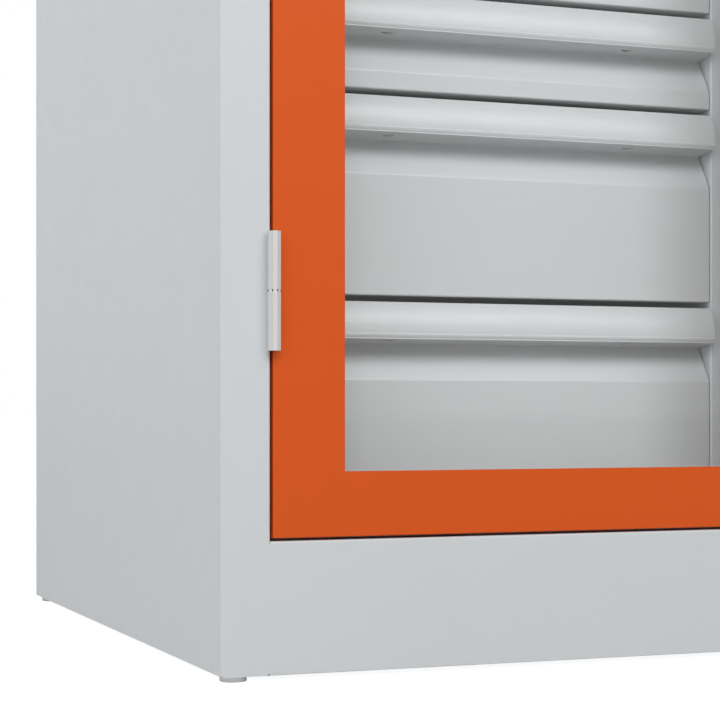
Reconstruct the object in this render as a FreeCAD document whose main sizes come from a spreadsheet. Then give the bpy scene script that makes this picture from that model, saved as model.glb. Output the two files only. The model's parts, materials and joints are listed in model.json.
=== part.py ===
# Heavy-duty storage cabinet: a folded sheet-steel carcass with a window door, four drawers and a shelf.
# Lengths are in millimetres. X runs to the right, Y from the front to the back, Z up.
# The origin is the middle of the footprint, on the floor.

import FreeCAD, Part
import math
import os

import Sketcher
from FreeCAD import Placement, Rotation, Vector

SIZES = (
    # Carcass
    ("width", 500, "outer width"),
    ("depth", 600, "outer depth, from the front plane to the back"),
    ("height", 1000, "outer height, from the floor"),
    ("foot_show", 4, "height of the carcass above the floor"),
    ("wall", 1.2, "carcass sheet"),
    ("bend", 2.5, "outer radius of a bend in the carcass"),
    ("stile", 35, "width of the front stile"),
    ("header", 40, "height of the front rail above the door"),
    ("plinth", 90, "height of the plinth"),
    ("frame_return", 20, "from the front plane to the stop lip behind the door"),
    ("stop_lip", 10, "width of the stop lip"),
    ("rear_flange", 20, "width of the flanges around the back panel"),
    ("side_lift", 0.8, "the side sheet ends this much above the plinth's lower edge"),
    ("plinth_hem", 15, "width of the folds that stiffen plinth and floor"),
    ("floor_rise", 12, "height of the cabinet floor above the plinth"),
    ("top_round", 0.9, "radius of the top plate's edges"),
    ("relief", 0.6, "radius of the relief hole at the foot of the stile"),
    ("relief_lift", 1.5, "height of the relief hole above the lower edge"),
    # Feet
    ("foot_radius", 9.3, "disc of a levelling foot"),
    ("foot_inset", 12.8, "from the outer faces to the middle of a foot"),
    ("foot_disc", 4, "thickness of the disc"),
    ("foot_chamfer", 0.8, "chamfer of the disc"),
    ("collar_radius", 6, "collar between disc and bracket"),
    ("stem_radius", 4, "threaded stem"),
    ("stem_length", 36, "height of the stem's end above the floor"),
    ("drive_slot", 1.6, "width of the driver slot in the stem"),
    ("drive_depth", 2.5, "depth of the driver slot"),
    ("thread_clearance", 0.1, "radial play of the stem in its nut"),
    ("bracket_size", 28, "side of a corner bracket"),
    ("bracket_plate", 3, "thickness of a corner bracket"),
    ("nut_radius", 7.5, "nut across its corners, halved"),
    ("nut_height", 6.5, "height of the nut"),
    # Uprights, shelf and cover
    ("upright_width", 30, "width of an upright's perforated face"),
    ("upright_reach", 18, "from the side panel to the perforated face"),
    ("upright_sheet", 1.5, "sheet of the uprights and casings"),
    ("upright_setback", 24, "from the front plane to the front upright"),
    ("slot_pitch", 25, "pitch of the slots"),
    ("slot_width", 4, "width of a slot"),
    ("slot_height", 12, "height of a slot"),
    ("slot_start", 40, "from the cabinet floor to the first slot"),
    ("shelf_fold", 25, "height of the folded shelf edges"),
    ("shelf_hem", 12, "width of the hem under a shelf's front edge"),
    ("shelf_setback", 30, "from the front plane to the shelf"),
    ("shelf_play", 0.8, "side play of a shelf between the uprights"),
    ("shelf_rear_gap", 2.6, "from a shelf to the back panel"),
    ("clip_width", 16, "width of a shelf clip"),
    ("clip_reach", 16, "length of a clip's ledge"),
    ("clip_sheet", 2, "sheet of a clip"),
    ("clip_drop", 22, "height of a clip"),
    ("clip_play", 0.2, "play of a clip's hook in its slot"),
    # Door
    ("door_gap", 2, "gap around the door"),
    ("door_sheet", 1, "door sheet"),
    ("door_depth", 18, "depth of the door's folded edge"),
    ("door_lip", 12, "width of the fold behind the door"),
    ("door_round", 0.8, "radius of the door's front edges"),
    ("door_stile", 51.5, "width of the door frame at the sides"),
    ("door_rail", 44.5, "width of the door frame at top and bottom"),
    ("pane", 3, "thickness of the window pane"),
    ("pane_lap", 10, "overlap of the pane behind the door sheet"),
    ("pane_play", 0.3, "play of the pane in its retainer"),
    ("retainer_width", 15, "width of the window retainer"),
    ("retainer_sheet", 1.5, "thickness of the retainer over the pane"),
    ("rivet_radius", 2.2, "rivet head"),
    ("rivet_crown", 1.5, "flat top of a rivet head, radius"),
    ("rivet_height", 1, "height of a rivet head"),
    ("bumper_radius", 4, "rubber door bumper"),
    ("bumper_height", 1.8, "height of a bumper"),
    ("bumper_inset", 84, "from the door's ends to a bumper"),
    ("bumper_side", 6, "from the stile's edge to the middle of a bumper"),
    # Hinges
    ("knuckle_radius", 4.75, "hinge knuckle"),
    ("hinge_length", 80, "length of a hinge"),
    ("hinge_inset", 166, "from the door's ends to the middle of a hinge"),
    ("washer", 1.4, "thickness of the hinge washer"),
    ("washer_gap", 0.05, "play above the washer"),
    ("washer_rim", 0.15, "the washer is this much smaller than the knuckle"),
    ("pin_radius", 2.5, "hinge pin"),
    ("pin_play", 0.05, "radial play of the pin in the door's knuckle"),
    ("knuckle_cap", 4, "closed end of a knuckle"),
    ("pin_end_gap", 1, "from the pin's end to the end of its bore"),
    ("weld_width", 2.6, "width of the weld seat beside the gap"),
    ("weld_depth", 1.8, "depth of the weld seat"),
    # Lock
    ("lock_inset", 19, "from the door's free edge to the knob"),
    ("rosette_radius", 17, "rosette under the knob"),
    ("rosette_height", 4, "height of the rosette"),
    ("knob_gap", 0.3, "gap between rosette and knob"),
    ("knob_radius", 15.5, "knob"),
    ("knob_base", 5, "height of the knob's disc"),
    ("boss_radius", 9, "boss around the lock cylinder"),
    ("boss_height", 11, "height of the boss"),
    ("grip_width", 8, "width of the knob's grip"),
    ("grip_height", 9, "height of the grip"),
    ("knob_round", 1.2, "radius of the knob's edges"),
    ("cylinder_radius", 5.5, "lock cylinder"),
    ("cylinder_length", 9, "length of the lock cylinder"),
    ("cylinder_show", 0.4, "the cylinder stands this much out of the boss"),
    ("cylinder_play", 0.03, "radial play of the lock cylinder"),
    ("key_width", 1.2, "width of the key slot"),
    ("key_length", 6.5, "length of the key slot"),
    ("key_depth", 4, "depth of the key slot"),
    ("spindle_radius", 5, "spindle of the knob"),
    ("spindle_play", 0.05, "radial play of the spindle"),
    ("lock_plate", 1.5, "thickness of the plate behind the door sheet"),
    ("lock_plate_width", 32, "width of that plate"),
    ("lock_plate_height", 60, "height of that plate"),
    ("cam_gap", 0.5, "gap between plate and cam"),
    ("cam_sheet", 2.5, "thickness of the cam"),
    ("cam_radius", 14.5, "cam disc"),
    ("cam_throw", 10.6, "from the spindle to a cam pin"),
    ("cam_pin", 2.5, "radius of a cam pin"),
    ("cam_pin_length", 4.5, "length of a cam pin"),
    ("cam_play", 0.6, "play of a cam pin in its rod"),
    # Locking rods
    ("rod_radius", 4, "locking rod"),
    ("rod_side", 9.5, "from the spindle to a rod, sideways"),
    ("rod_depth", 10, "from the front plane to the middle of a rod"),
    ("rod_start", 18, "from the spindle to the end of a rod"),
    ("rod_inset", 0.5, "a withdrawn rod ends this much inside the door"),
    ("rod_play", 0.6, "radial play of a rod in sheet holes"),
    ("rod_plate", 2, "thickness of the plate on a rod"),
    ("rod_plate_setback", 1, "from the cam to that plate"),
    ("rod_plate_width", 15, "width of that plate"),
    ("rod_plate_rim", 3, "rim of that plate around its slot"),
    ("guide_play", 0.1, "radial play of a rod in its guide"),
    ("guide_width", 15, "width of a rod guide"),
    ("guide_height", 12, "height of a rod guide"),
    ("guide_cover", 1, "wall of a guide behind its rod"),
    ("guide_inset", 14, "from the door's ends to a rod guide"),
    ("keeper", 3, "thickness of a keeper plate"),
    ("keeper_width", 20, "width of a keeper plate"),
    ("keeper_depth", 14, "depth of a keeper plate"),
    # Drawers
    ("drawer_width", 340, "width of a drawer front"),
    ("drawer_recess", 66, "from the front plane to the foremost line of a grip"),
    ("large_pitch", 150, "height that a large drawer takes"),
    ("small_pitch", 75, "height that a small drawer takes"),
    ("drawer_gap", 4.7, "gap above a drawer front"),
    ("first_lift", 9.6, "from the cabinet floor to the lowest front"),
    ("drawer_sheet", 1, "drawer sheet"),
    ("front_depth", 28, "from the grip's foremost line to the tray"),
    ("grip_top", 9, "setback of the grip's top edge"),
    ("grip_drop", 23.7, "from the top edge to the foremost line"),
    ("grip_bend", 3.7, "radius of the grip's lower bend"),
    ("recess_setback", 26, "setback of the recess under the grip"),
    ("recess_drop", 30.1, "from the top edge to the recess"),
    ("crease_drop", 57, "from the top edge to the crease"),
    ("panel_setback", 10, "setback of the flat panel"),
    ("crease_round", 2, "radius of the crease"),
    ("grip_hole", 4.5, "radius of the holes in the grip's underside"),
    ("grip_hole_setback", 7, "setback of those holes"),
    ("grip_hole_side", 99, "from the middle to those holes"),
    ("tray_lift", 8, "from a front's lower edge to its tray"),
    ("tray_drop", 20.3, "from a front's top edge to the rim of its tray"),
    ("slide_space", 13.2, "space for a slide beside the tray"),
    ("side_gap", 1.5, "gap beside a drawer front"),
    ("casing_gap", 2, "from a side casing to the rear upright"),
    ("slide_length", 450, "length of a slide"),
    ("slide_travel", 333, "travel of a drawer"),
    ("slide_lift", 21, "from the tray's bottom to the middle of its slide"),
    ("rail_height", 36, "height of a fixed slide rail"),
    ("rail_reach", 11.2, "width of a fixed slide rail"),
    ("rail_sheet", 1.2, "sheet of the slides"),
    ("rail_bend", 1.8, "outer radius of the slides' bends"),
    ("rail_setback", 1, "from the drawer front to the fixed rails"),
    ("runner_height", 26, "height of the slide member on a tray"),
    ("runner_reach", 10.2, "width of the slide member on a tray"),
    ("cage_sheet", 1, "sheet of a ball cage"),
    ("cage_height", 32, "height of a ball cage"),
    ("cage_reach", 7.9, "width of a ball cage"),
    ("cage_gap", 0.4, "gap between fixed rail and cage"),
    ("cage_margin", 7, "a cage is this much shorter than the slide's last overlap"),
)

RIVETS_UP = 4
RIVETS_ACROSS = 3
SLOTS_BELOW_SHELF = 24
X_AXIS = Vector(1, 0, 0)
Y_AXIS = Vector(0, 1, 0)
Z_AXIS = Vector(0, 0, 1)
DIAGONAL = math.sqrt(0.5)

doc = FreeCAD.newDocument("cabinet")
nodes = []


def text_of(value):
    return value.text if isinstance(value, Size) else repr(float(value))


def number_of(value):
    return value.number if isinstance(value, Size) else float(value)


class Size:
    """A length worked out from the sheet: its number, and the expression that gives it."""

    def __init__(self, text, number):
        self.text = text
        self.number = number

    def __add__(self, other):
        return Size(f"({self.text} + {text_of(other)})", self.number + number_of(other))

    def __sub__(self, other):
        return Size(f"({self.text} - {text_of(other)})", self.number - number_of(other))

    def __mul__(self, other):
        return Size(f"({self.text} * {text_of(other)})", self.number * number_of(other))

    def __truediv__(self, other):
        return Size(f"({self.text} / {text_of(other)})", self.number / number_of(other))

    def __neg__(self):
        return Size(f"(0 - {self.text})", -self.number)

    def whole(self):
        """The whole number below this one."""
        return Size(f"floor({self.text})", math.floor(self.number))


class Sheet:
    """The driving sizes, each a cell of the spreadsheet and a Size by the same name."""

    def __init__(self, rows):
        cells = doc.addObject("Spreadsheet::Sheet", "Sizes")
        for row, (name, number, meaning) in enumerate(rows, 1):
            cells.set(f"A{row}", meaning)
            cells.set(f"B{row}", str(number))
            cells.setAlias(f"B{row}", name)
            setattr(self, name, Size(f"Sizes.{name}", float(number)))
        doc.recompute()


s = Sheet(SIZES)


# Drawing helpers


def bind(thing, field, size):
    thing.setExpression(field, text_of(size))


def node(label, thing):
    """Names a finished sub-part and puts it on the list of files to write."""
    thing.Label = label
    nodes.append(thing)
    return thing


def new_body(at=None):
    body = doc.addObject("PartDesign::Body", "Body")
    if at:
        for axis, size in zip("xyz", at):
            bind(body, f"Placement.Base.{axis}", size)
    return body


def origin_of(body, role):
    return next(part for part in body.Origin.OriginFeatures if part.Role == role)


def arc_between(begin, end, radius, corner):
    """An arc that bulges towards corner, and which of its ends, 1 or 2, lies at begin."""
    middle = (begin + end) / 2
    chord = end - begin
    across = Vector(-chord.y, chord.x, 0).normalize()
    leftwards = across.dot(corner - middle) < 0
    if leftwards:
        across = -across
    centre = middle - across * math.sqrt(max(radius**2 - (chord.Length / 2) ** 2, 0))
    first, last = (begin, end) if leftwards else (end, begin)
    from_angle = math.atan2(first.y - centre.y, first.x - centre.x)
    to_angle = math.atan2(last.y - centre.y, last.x - centre.x)
    if to_angle < from_angle:
        to_angle += math.tau
    arc = Part.ArcOfCircle(Part.Circle(centre, Z_AXIS, radius), from_angle, to_angle)
    return arc, 1 if leftwards else 2


def outline(body, plane, points, level):
    """A closed outline on one of the body's planes.

    A point is (u, v), or (u, v, radius, corner) where an arc that bulges towards corner leads to the next.
    """
    sketch = body.newObject("Sketcher::SketchObject", "Outline")
    sketch.AttachmentSupport = [(origin_of(body, plane + "_Plane"), "")]
    sketch.MapMode = "FlatFace"
    bind(sketch, "AttachmentOffset.Base.z", level)
    flat = [Vector(number_of(point[0]), number_of(point[1]), 0) for point in points]
    starts = []
    for index, point in enumerate(points):
        begin = flat[index]
        end = flat[(index + 1) % len(points)]
        if len(point) == 2:
            sketch.addGeometry(Part.LineSegment(begin, end), False)
            starts.append(1)
            continue
        corner = Vector(number_of(point[3][0]), number_of(point[3][1]), 0)
        arc, start = arc_between(begin, end, number_of(point[2]), corner)
        sketch.addGeometry(arc, False)
        starts.append(start)
    for index, point in enumerate(points):
        following = (index + 1) % len(points)
        end = 3 - starts[index]
        sketch.addConstraint(Sketcher.Constraint("Coincident", index, end, following, starts[following]))
        for kind, size in (("DistanceX", point[0]), ("DistanceY", point[1])):
            rule = Sketcher.Constraint(kind, -1, 1, index, starts[index], number_of(size))
            bind(sketch, f"Constraints[{sketch.addConstraint(rule)}]", size)
        if len(point) > 2:
            rule = Sketcher.Constraint("Radius", index, number_of(point[2]))
            bind(sketch, f"Constraints[{sketch.addConstraint(rule)}]", point[2])
    return sketch


def finish_feature(body, feature, cut, before):
    """Recomputes, and checks that a feature added or took material."""
    body.Tip = feature
    doc.recompute()
    change = feature.Shape.Volume - before
    if (change >= 0) if cut else (change <= 0):
        raise RuntimeError(f"{feature.Name} of {body.Name} changed nothing")
    return feature


def volume_of(body):
    return body.Tip.Shape.Volume if body.Tip else 0.0


def prism(body, plane, points, start, end, cut=False):
    """An outline extruded from start to end along the plane's own axis."""
    before = volume_of(body)
    backwards = plane == "XZ"
    level = -start if backwards else start
    sketch = outline(body, plane, points, level)
    feature = body.newObject("PartDesign::Pocket" if cut else "PartDesign::Pad", "Prism")
    feature.Profile = sketch
    feature.Reversed = backwards != cut
    bind(feature, "Length", end - start)
    return finish_feature(body, feature, cut, before)


def turned(body, points):
    """An outline of (radius, height) points turned about the body's own Z axis."""
    sketch = outline(body, "XZ", points, s.width * 0)
    feature = body.newObject("PartDesign::Revolution", "Turned")
    feature.Profile = sketch
    feature.ReferenceAxis = (origin_of(body, "Z_Axis"), [""])
    feature.Angle = 360
    return finish_feature(body, feature, False, 0.0)


def box(body, low, high, cut=False):
    before = volume_of(body)
    feature = body.newObject("PartDesign::SubtractiveBox" if cut else "PartDesign::AdditiveBox", "Block")
    for field, axis, a, b in zip(("Length", "Width", "Height"), "xyz", low, high):
        bind(feature, field, b - a)
        bind(feature, f"Placement.Base.{axis}", a)
    return finish_feature(body, feature, cut, before)


def cylinder(body, axis, foot, radius, length, cut=False):
    """A round boss or bore that starts at foot and runs along axis."""
    before = volume_of(body)
    kind = "PartDesign::SubtractiveCylinder" if cut else "PartDesign::AdditiveCylinder"
    feature = body.newObject(kind, "Round")
    feature.Placement = Placement(Vector(), Rotation(Z_AXIS, axis))
    bind(feature, "Radius", radius)
    bind(feature, "Height", length)
    for name, size in zip("xyz", foot):
        bind(feature, f"Placement.Base.{name}", size)
    return finish_feature(body, feature, cut, before)


def round_edges(body, radius, wanted):
    """Rounds the edges of the body that wanted picks by their place."""
    tip = body.Tip
    names = [f"Edge{index}" for index, edge in enumerate(tip.Shape.Edges, 1) if wanted(edge)]
    feature = body.newObject("PartDesign::Fillet", "Rounding")
    feature.Base = (tip, names)
    bind(feature, "Radius", radius)
    body.Tip = feature
    doc.recompute()
    return feature


def repeated(body, feature, axis, spacing, count):
    """Repeats a feature along one of the body's own axes."""
    pattern = body.newObject("PartDesign::LinearPattern", "Row")
    pattern.Originals = [feature]
    pattern.Direction = (origin_of(body, axis + "_Axis"), [""])
    pattern.Mode = "Spacing"
    bind(pattern, "Offset", spacing)
    bind(pattern, "Occurrences", count)
    body.Tip = pattern
    doc.recompute()
    return pattern


def mirrored(source, normal):
    """The other hand of a sub-part, across the cabinet's middle plane."""
    mirror = doc.addObject("Part::Mirroring", "Mirror")
    mirror.Source = source
    mirror.Normal = normal
    return mirror


def group(label, links):
    """Separate solids that share one node."""
    compound = doc.addObject("Part::Compound", "Group")
    compound.Links = links
    return node(label, compound)


def sign(number):
    return (number > 1e-9) - (number < -1e-9)


def folded(path, wall, bend, side):
    """The closed section of a sheet folded along a square path.

    The path is the line of the outer face. side is 1 where the sheet lies to the left of it, else -1.
    """
    steps = []
    for here, there in zip(path, path[1:]):
        steps.append(tuple(sign(number_of(b) - number_of(a)) for a, b in zip(here, there)))

    def inward(step):
        return (-step[1] * side, step[0] * side)

    def shifted(point, direction, size):
        return tuple(value + size * step for value, step in zip(point, direction))

    def corner(point, before, after, radius):
        flat = (number_of(point[0]), number_of(point[1]))
        begin = shifted(point, (-before[0], -before[1]), radius)
        return [(*begin, radius, flat), shifted(point, after, radius)]

    outer = [path[0]]
    inner = [shifted(path[0], inward(steps[0]), wall)]
    for point, before, after in zip(path[1:], steps, steps[1:]):
        turn = (before[0] * after[1] - before[1] * after[0]) * side
        near, far = (bend, bend - wall) if turn > 0 else (bend - wall, bend)
        outer += corner(point, before, after, near)
        offset = shifted(shifted(point, inward(before), wall), inward(after), wall)
        back_before = (-after[0], -after[1])
        back_after = (-before[0], -before[1])
        inner = corner(offset, back_before, back_after, far) + inner
    outer.append(path[-1])
    inner = [shifted(path[-1], inward(steps[-1]), wall)] + inner
    return outer + inner


# Places that several sub-parts share

left = -s.width / 2
right = s.width / 2
front = -s.depth / 2
rear = s.depth / 2
base = s.foot_show
side_bottom = base + s.side_lift
under_top = s.height - s.wall
stop = front + s.frame_return
opening_left = left + s.stile
opening_right = right - s.stile
opening_bottom = base + s.plinth
opening_top = s.height - s.header
inner_left = left + s.wall
inner_right = right - s.wall
back_face = rear - s.wall * 2
floor_top = opening_bottom + s.floor_rise

door_left = opening_left + s.door_gap
door_right = opening_right - s.door_gap
door_bottom = opening_bottom + s.door_gap
door_top = opening_top - s.door_gap
door_back = front + s.door_depth
skin_back = front + s.door_sheet
window_left = door_left + s.door_stile
window_right = door_right - s.door_stile
window_bottom = door_bottom + s.door_rail
window_top = door_top - s.door_rail

hinge_x = (opening_left + door_left) / 2
hinge_y = front - s.knuckle_radius
lock_x = door_right - s.lock_inset
lock_z = (door_bottom + door_top) / 2
rod_y = front + s.rod_depth
upper_rod_x = lock_x + s.rod_side
lower_rod_x = lock_x - s.rod_side
rod_hole = s.rod_radius + s.rod_play

grip_front = front + s.drawer_recess
slide_front = grip_front + s.front_depth
slide_rear = slide_front + s.slide_length
casing_face = -s.drawer_width / 2 - s.side_gap
tray_side = casing_face + s.slide_space
upright_face = inner_left + s.upright_reach
upright_front = front + s.upright_setback
casing_rear = -(upright_front + s.upright_width) - s.casing_gap
shelf_side = upright_face + s.shelf_play
shelf_rear = back_face - s.shelf_rear_gap


def drawer_levels():
    """The lower edge and the height of each drawer front, from the lowest drawer up."""
    level = floor_top + s.first_lift
    levels = []
    for pitch in (s.large_pitch, s.large_pitch, s.small_pitch, s.small_pitch):
        levels.append((level, pitch - s.drawer_gap))
        level = level + pitch
    return levels, level


levels, cover_bottom = drawer_levels()


# Carcass


def make_sides():
    """Side panel and front stile in one sheet, with a stop lip in front and a flange at the back."""
    body = new_body()
    path = [
        (opening_left + s.stop_lip, stop),
        (opening_left, stop),
        (opening_left, front),
        (left, front),
        (left, rear),
        (left + s.rear_flange, rear),
    ]
    prism(body, "XY", folded(path, s.wall, s.bend, -1), base, under_top)
    box(body, (left, front + s.bend, base), (left + s.rear_flange, rear, side_bottom), cut=True)
    node("side_left", body)
    node("side_right", mirrored(body, X_AXIS))


def clear_corners(body, bottom):
    """Takes the rear corners off a threshold, where the stiles bend into their stop lips."""
    corner = s.bend - s.wall
    for edge in (opening_left, opening_right - corner):
        box(body, (edge, stop - corner, bottom), (edge + corner, stop, bottom + s.wall), cut=True)


def make_plinth():
    """Plinth between the stiles: hem, front, threshold, and the stop lip behind the door's lower edge."""
    body = new_body()
    path = [
        (front + s.plinth_hem, base),
        (front, base),
        (front, opening_bottom),
        (stop, opening_bottom),
    ]
    prism(body, "YZ", folded(path, s.wall, s.bend, -1), opening_left, opening_right)
    clear_corners(body, opening_bottom - s.wall)
    # The threshold turns up into the lip only between the stop lips of the stiles.
    lip_end = opening_left + s.stop_lip
    box(body, (lip_end, stop, opening_bottom - s.wall), (-lip_end, stop + s.wall, floor_top))
    relief_x = opening_left + s.door_gap / 2
    cylinder(body, Y_AXIS, (relief_x, front, base + s.bend + s.relief_lift), s.relief, s.wall, cut=True)
    foot = (lower_rod_x, rod_y, opening_bottom - s.wall)
    cylinder(body, Z_AXIS, foot, rod_hole, s.wall, cut=True)
    node("plinth", body)


def make_top():
    """Top plate, header, and the stop lip behind the door's upper edge."""
    body = new_body()
    path = [(rear, s.height), (front, s.height), (front, opening_top), (stop, opening_top)]
    prism(body, "YZ", folded(path, s.wall, s.bend, 1), opening_left, opening_right)
    clear_corners(body, opening_top)
    box(body, (left, front, under_top), (right, rear, s.height))
    lip_end = opening_left + s.stop_lip
    box(body, (lip_end, stop, opening_top - s.stop_lip), (-lip_end, stop + s.wall, opening_top + s.wall))
    cylinder(body, Z_AXIS, (upper_rod_x, rod_y, opening_top), rod_hole, s.wall, cut=True)
    top = number_of(s.height)
    round_edges(body, s.top_round, lambda edge: min(v.Z for v in edge.Vertexes) > top - 1e-6)
    node("top_panel", body)


def make_back():
    """Back panel, welded inside the flanges of the side panels."""
    body = new_body()
    side = inner_left + s.bend - s.wall
    box(body, (side, back_face, side_bottom), (-side, rear - s.wall, under_top))
    node("back_panel", body)


def make_floor():
    """Cabinet floor, folded down along the side panels."""
    body = new_body()
    path = [
        (inner_left, floor_top - s.plinth_hem),
        (inner_left, floor_top),
        (inner_right, floor_top),
        (inner_right, floor_top - s.plinth_hem),
    ]
    prism(body, "XZ", folded(path, s.wall, s.bend, -1), stop + s.wall, back_face)
    node("floor_panel", body)


def make_feet():
    """Corner brackets with welded nuts, and a levelling foot screwed into each."""
    foot_at = (left + s.foot_inset, front + s.foot_inset)
    bracket = new_body()
    low = (inner_left, front + s.wall * 2, side_bottom)
    plate_top = side_bottom + s.bracket_plate
    box(bracket, low, (low[0] + s.bracket_size, low[1] + s.bracket_size, plate_top))
    before = volume_of(bracket)
    nut = bracket.newObject("PartDesign::AdditivePrism", "Nut")
    nut.Polygon = 6
    bind(nut, "Circumradius", s.nut_radius)
    bind(nut, "Height", s.nut_height)
    for axis, size in zip("xyz", (*foot_at, plate_top)):
        bind(nut, f"Placement.Base.{axis}", size)
    finish_feature(bracket, nut, False, before)
    bore = s.stem_radius + s.thread_clearance
    cylinder(bracket, Z_AXIS, (*foot_at, side_bottom), bore, s.bracket_plate + s.nut_height, cut=True)
    behind = mirrored(bracket, Y_AXIS)
    group("foot_brackets", [bracket, behind, mirrored(bracket, X_AXIS), mirrored(behind, X_AXIS)])

    nothing = s.width * 0
    foot = new_body((*foot_at, nothing))
    profile = [
        (nothing, nothing),
        (s.foot_radius - s.foot_chamfer, nothing),
        (s.foot_radius, s.foot_chamfer),
        (s.foot_radius, s.foot_disc),
        (s.collar_radius, s.foot_disc),
        (s.collar_radius, side_bottom),
        (s.stem_radius, side_bottom),
        (s.stem_radius, s.stem_length),
        (nothing, s.stem_length),
    ]
    turned(foot, profile)
    slot_low = (-s.stem_radius, -s.drive_slot / 2, s.stem_length - s.drive_depth)
    box(foot, slot_low, (s.stem_radius, s.drive_slot / 2, s.stem_length), cut=True)
    node("foot_front_left", foot)
    node("foot_front_right", mirrored(foot, X_AXIS))
    foot_behind = node("foot_rear_left", mirrored(foot, Y_AXIS))
    node("foot_rear_right", mirrored(foot_behind, X_AXIS))


# Inner fittings


def make_uprights():
    """Perforated corner uprights that carry the shelf clips."""
    body = new_body()
    upright_rear = upright_front + s.upright_width
    path = [
        (inner_left, upright_front),
        (upright_face, upright_front),
        (upright_face, upright_rear),
        (inner_left, upright_rear),
    ]
    prism(body, "XY", folded(path, s.upright_sheet, s.bend, 1), floor_top, under_top)
    middle = upright_front + s.upright_width / 2
    first = floor_top + s.slot_start - s.slot_height / 2
    low = (upright_face - s.upright_sheet, middle - s.slot_width / 2, first)
    high = (upright_face, middle + s.slot_width / 2, first + s.slot_height)
    slot = box(body, low, high, cut=True)
    room = under_top - floor_top - s.slot_start * 2
    repeated(body, slot, "Z", s.slot_pitch, (room / s.slot_pitch).whole() + 1)
    node("upright_front_left", body)
    node("upright_front_right", mirrored(body, X_AXIS))
    behind = node("upright_rear_left", mirrored(body, Y_AXIS))
    node("upright_rear_right", mirrored(behind, X_AXIS))


def make_casings():
    """Side casings that carry the slides and keep the drawers clear of the open door."""
    body = new_body()
    casing_front = grip_front + s.panel_setback
    path = [
        (inner_left, casing_front),
        (casing_face, casing_front),
        (casing_face, casing_rear),
        (inner_left, casing_rear),
    ]
    prism(body, "XY", folded(path, s.upright_sheet, s.bend, 1), floor_top, cover_bottom)
    node("casing_left", body)
    node("casing_right", mirrored(body, X_AXIS))


def shelf_section(shelf_front, bottom):
    top = bottom + s.shelf_fold
    path = [
        (shelf_front + s.shelf_hem, bottom),
        (shelf_front, bottom),
        (shelf_front, top),
        (shelf_rear, top),
        (shelf_rear, bottom),
    ]
    return folded(path, s.wall, s.bend, -1)


def make_shelves():
    """The fixed cover above the drawers, the loose shelf, and the four clips that carry it."""
    cover = new_body()
    prism(cover, "YZ", shelf_section(grip_front, cover_bottom), shelf_side, -shelf_side)
    node("cover_shelf", cover)

    slot_middle = floor_top + s.slot_start + s.slot_pitch * SLOTS_BELOW_SHELF
    shelf_bottom = slot_middle + s.slot_height / 2
    shelf = new_body()
    section = shelf_section(front + s.shelf_setback, shelf_bottom)
    prism(shelf, "YZ", section, shelf_side, -shelf_side)
    node("shelf", shelf)

    clip = new_body()
    middle = upright_front + s.upright_width / 2
    edge = s.clip_width / 2
    ledge_end = upright_face + s.clip_reach
    low = (upright_face, middle - edge, shelf_bottom - s.clip_sheet)
    box(clip, low, (ledge_end, middle + edge, shelf_bottom))
    low = (upright_face, middle - edge, shelf_bottom - s.clip_drop)
    box(clip, low, (upright_face + s.clip_sheet, middle + edge, shelf_bottom))
    hook = s.slot_width / 2 - s.clip_play
    hook_bottom = slot_middle - s.slot_height / 2 + s.clip_play
    low = (upright_face - s.upright_sheet * 2, middle - hook, hook_bottom)
    high = (upright_face, middle + hook, slot_middle + s.slot_height / 2 - s.clip_play)
    box(clip, low, high)
    behind = mirrored(clip, Y_AXIS)
    group("shelf_clips", [clip, behind, mirrored(clip, X_AXIS), mirrored(behind, X_AXIS)])


def make_keepers():
    """Plates that back the rods' holes in threshold and header."""
    plates = []
    keeper_front = rod_y - s.keeper_depth / 2
    bottoms = (opening_bottom - s.wall - s.keeper, opening_top + s.wall)
    for rod_x, bottom in zip((lower_rod_x, upper_rod_x), bottoms):
        body = new_body()
        low = (rod_x - s.keeper_width / 2, keeper_front, bottom)
        high = (rod_x + s.keeper_width / 2, keeper_front + s.keeper_depth, bottom + s.keeper)
        box(body, low, high)
        cylinder(body, Z_AXIS, (rod_x, rod_y, bottom), rod_hole, s.keeper, cut=True)
        plates.append(body)
    group("rod_keepers", plates)


def make_bumpers():
    """Rubber discs on the stop lip that the closed door rests on."""
    discs = []
    for level in (door_bottom + s.bumper_inset, door_top - s.bumper_inset):
        disc = doc.addObject("Part::Cylinder", "Bumper")
        disc.Placement = Placement(Vector(), Rotation(Z_AXIS, Y_AXIS))
        bind(disc, "Radius", s.bumper_radius)
        bind(disc, "Height", s.bumper_height)
        place = (opening_right - s.bumper_side, stop - s.bumper_height, level)
        for axis, size in zip("xyz", place):
            bind(disc, f"Placement.Base.{axis}", size)
        discs.append(disc)
    group("door_bumpers", discs)


# Door


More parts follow.
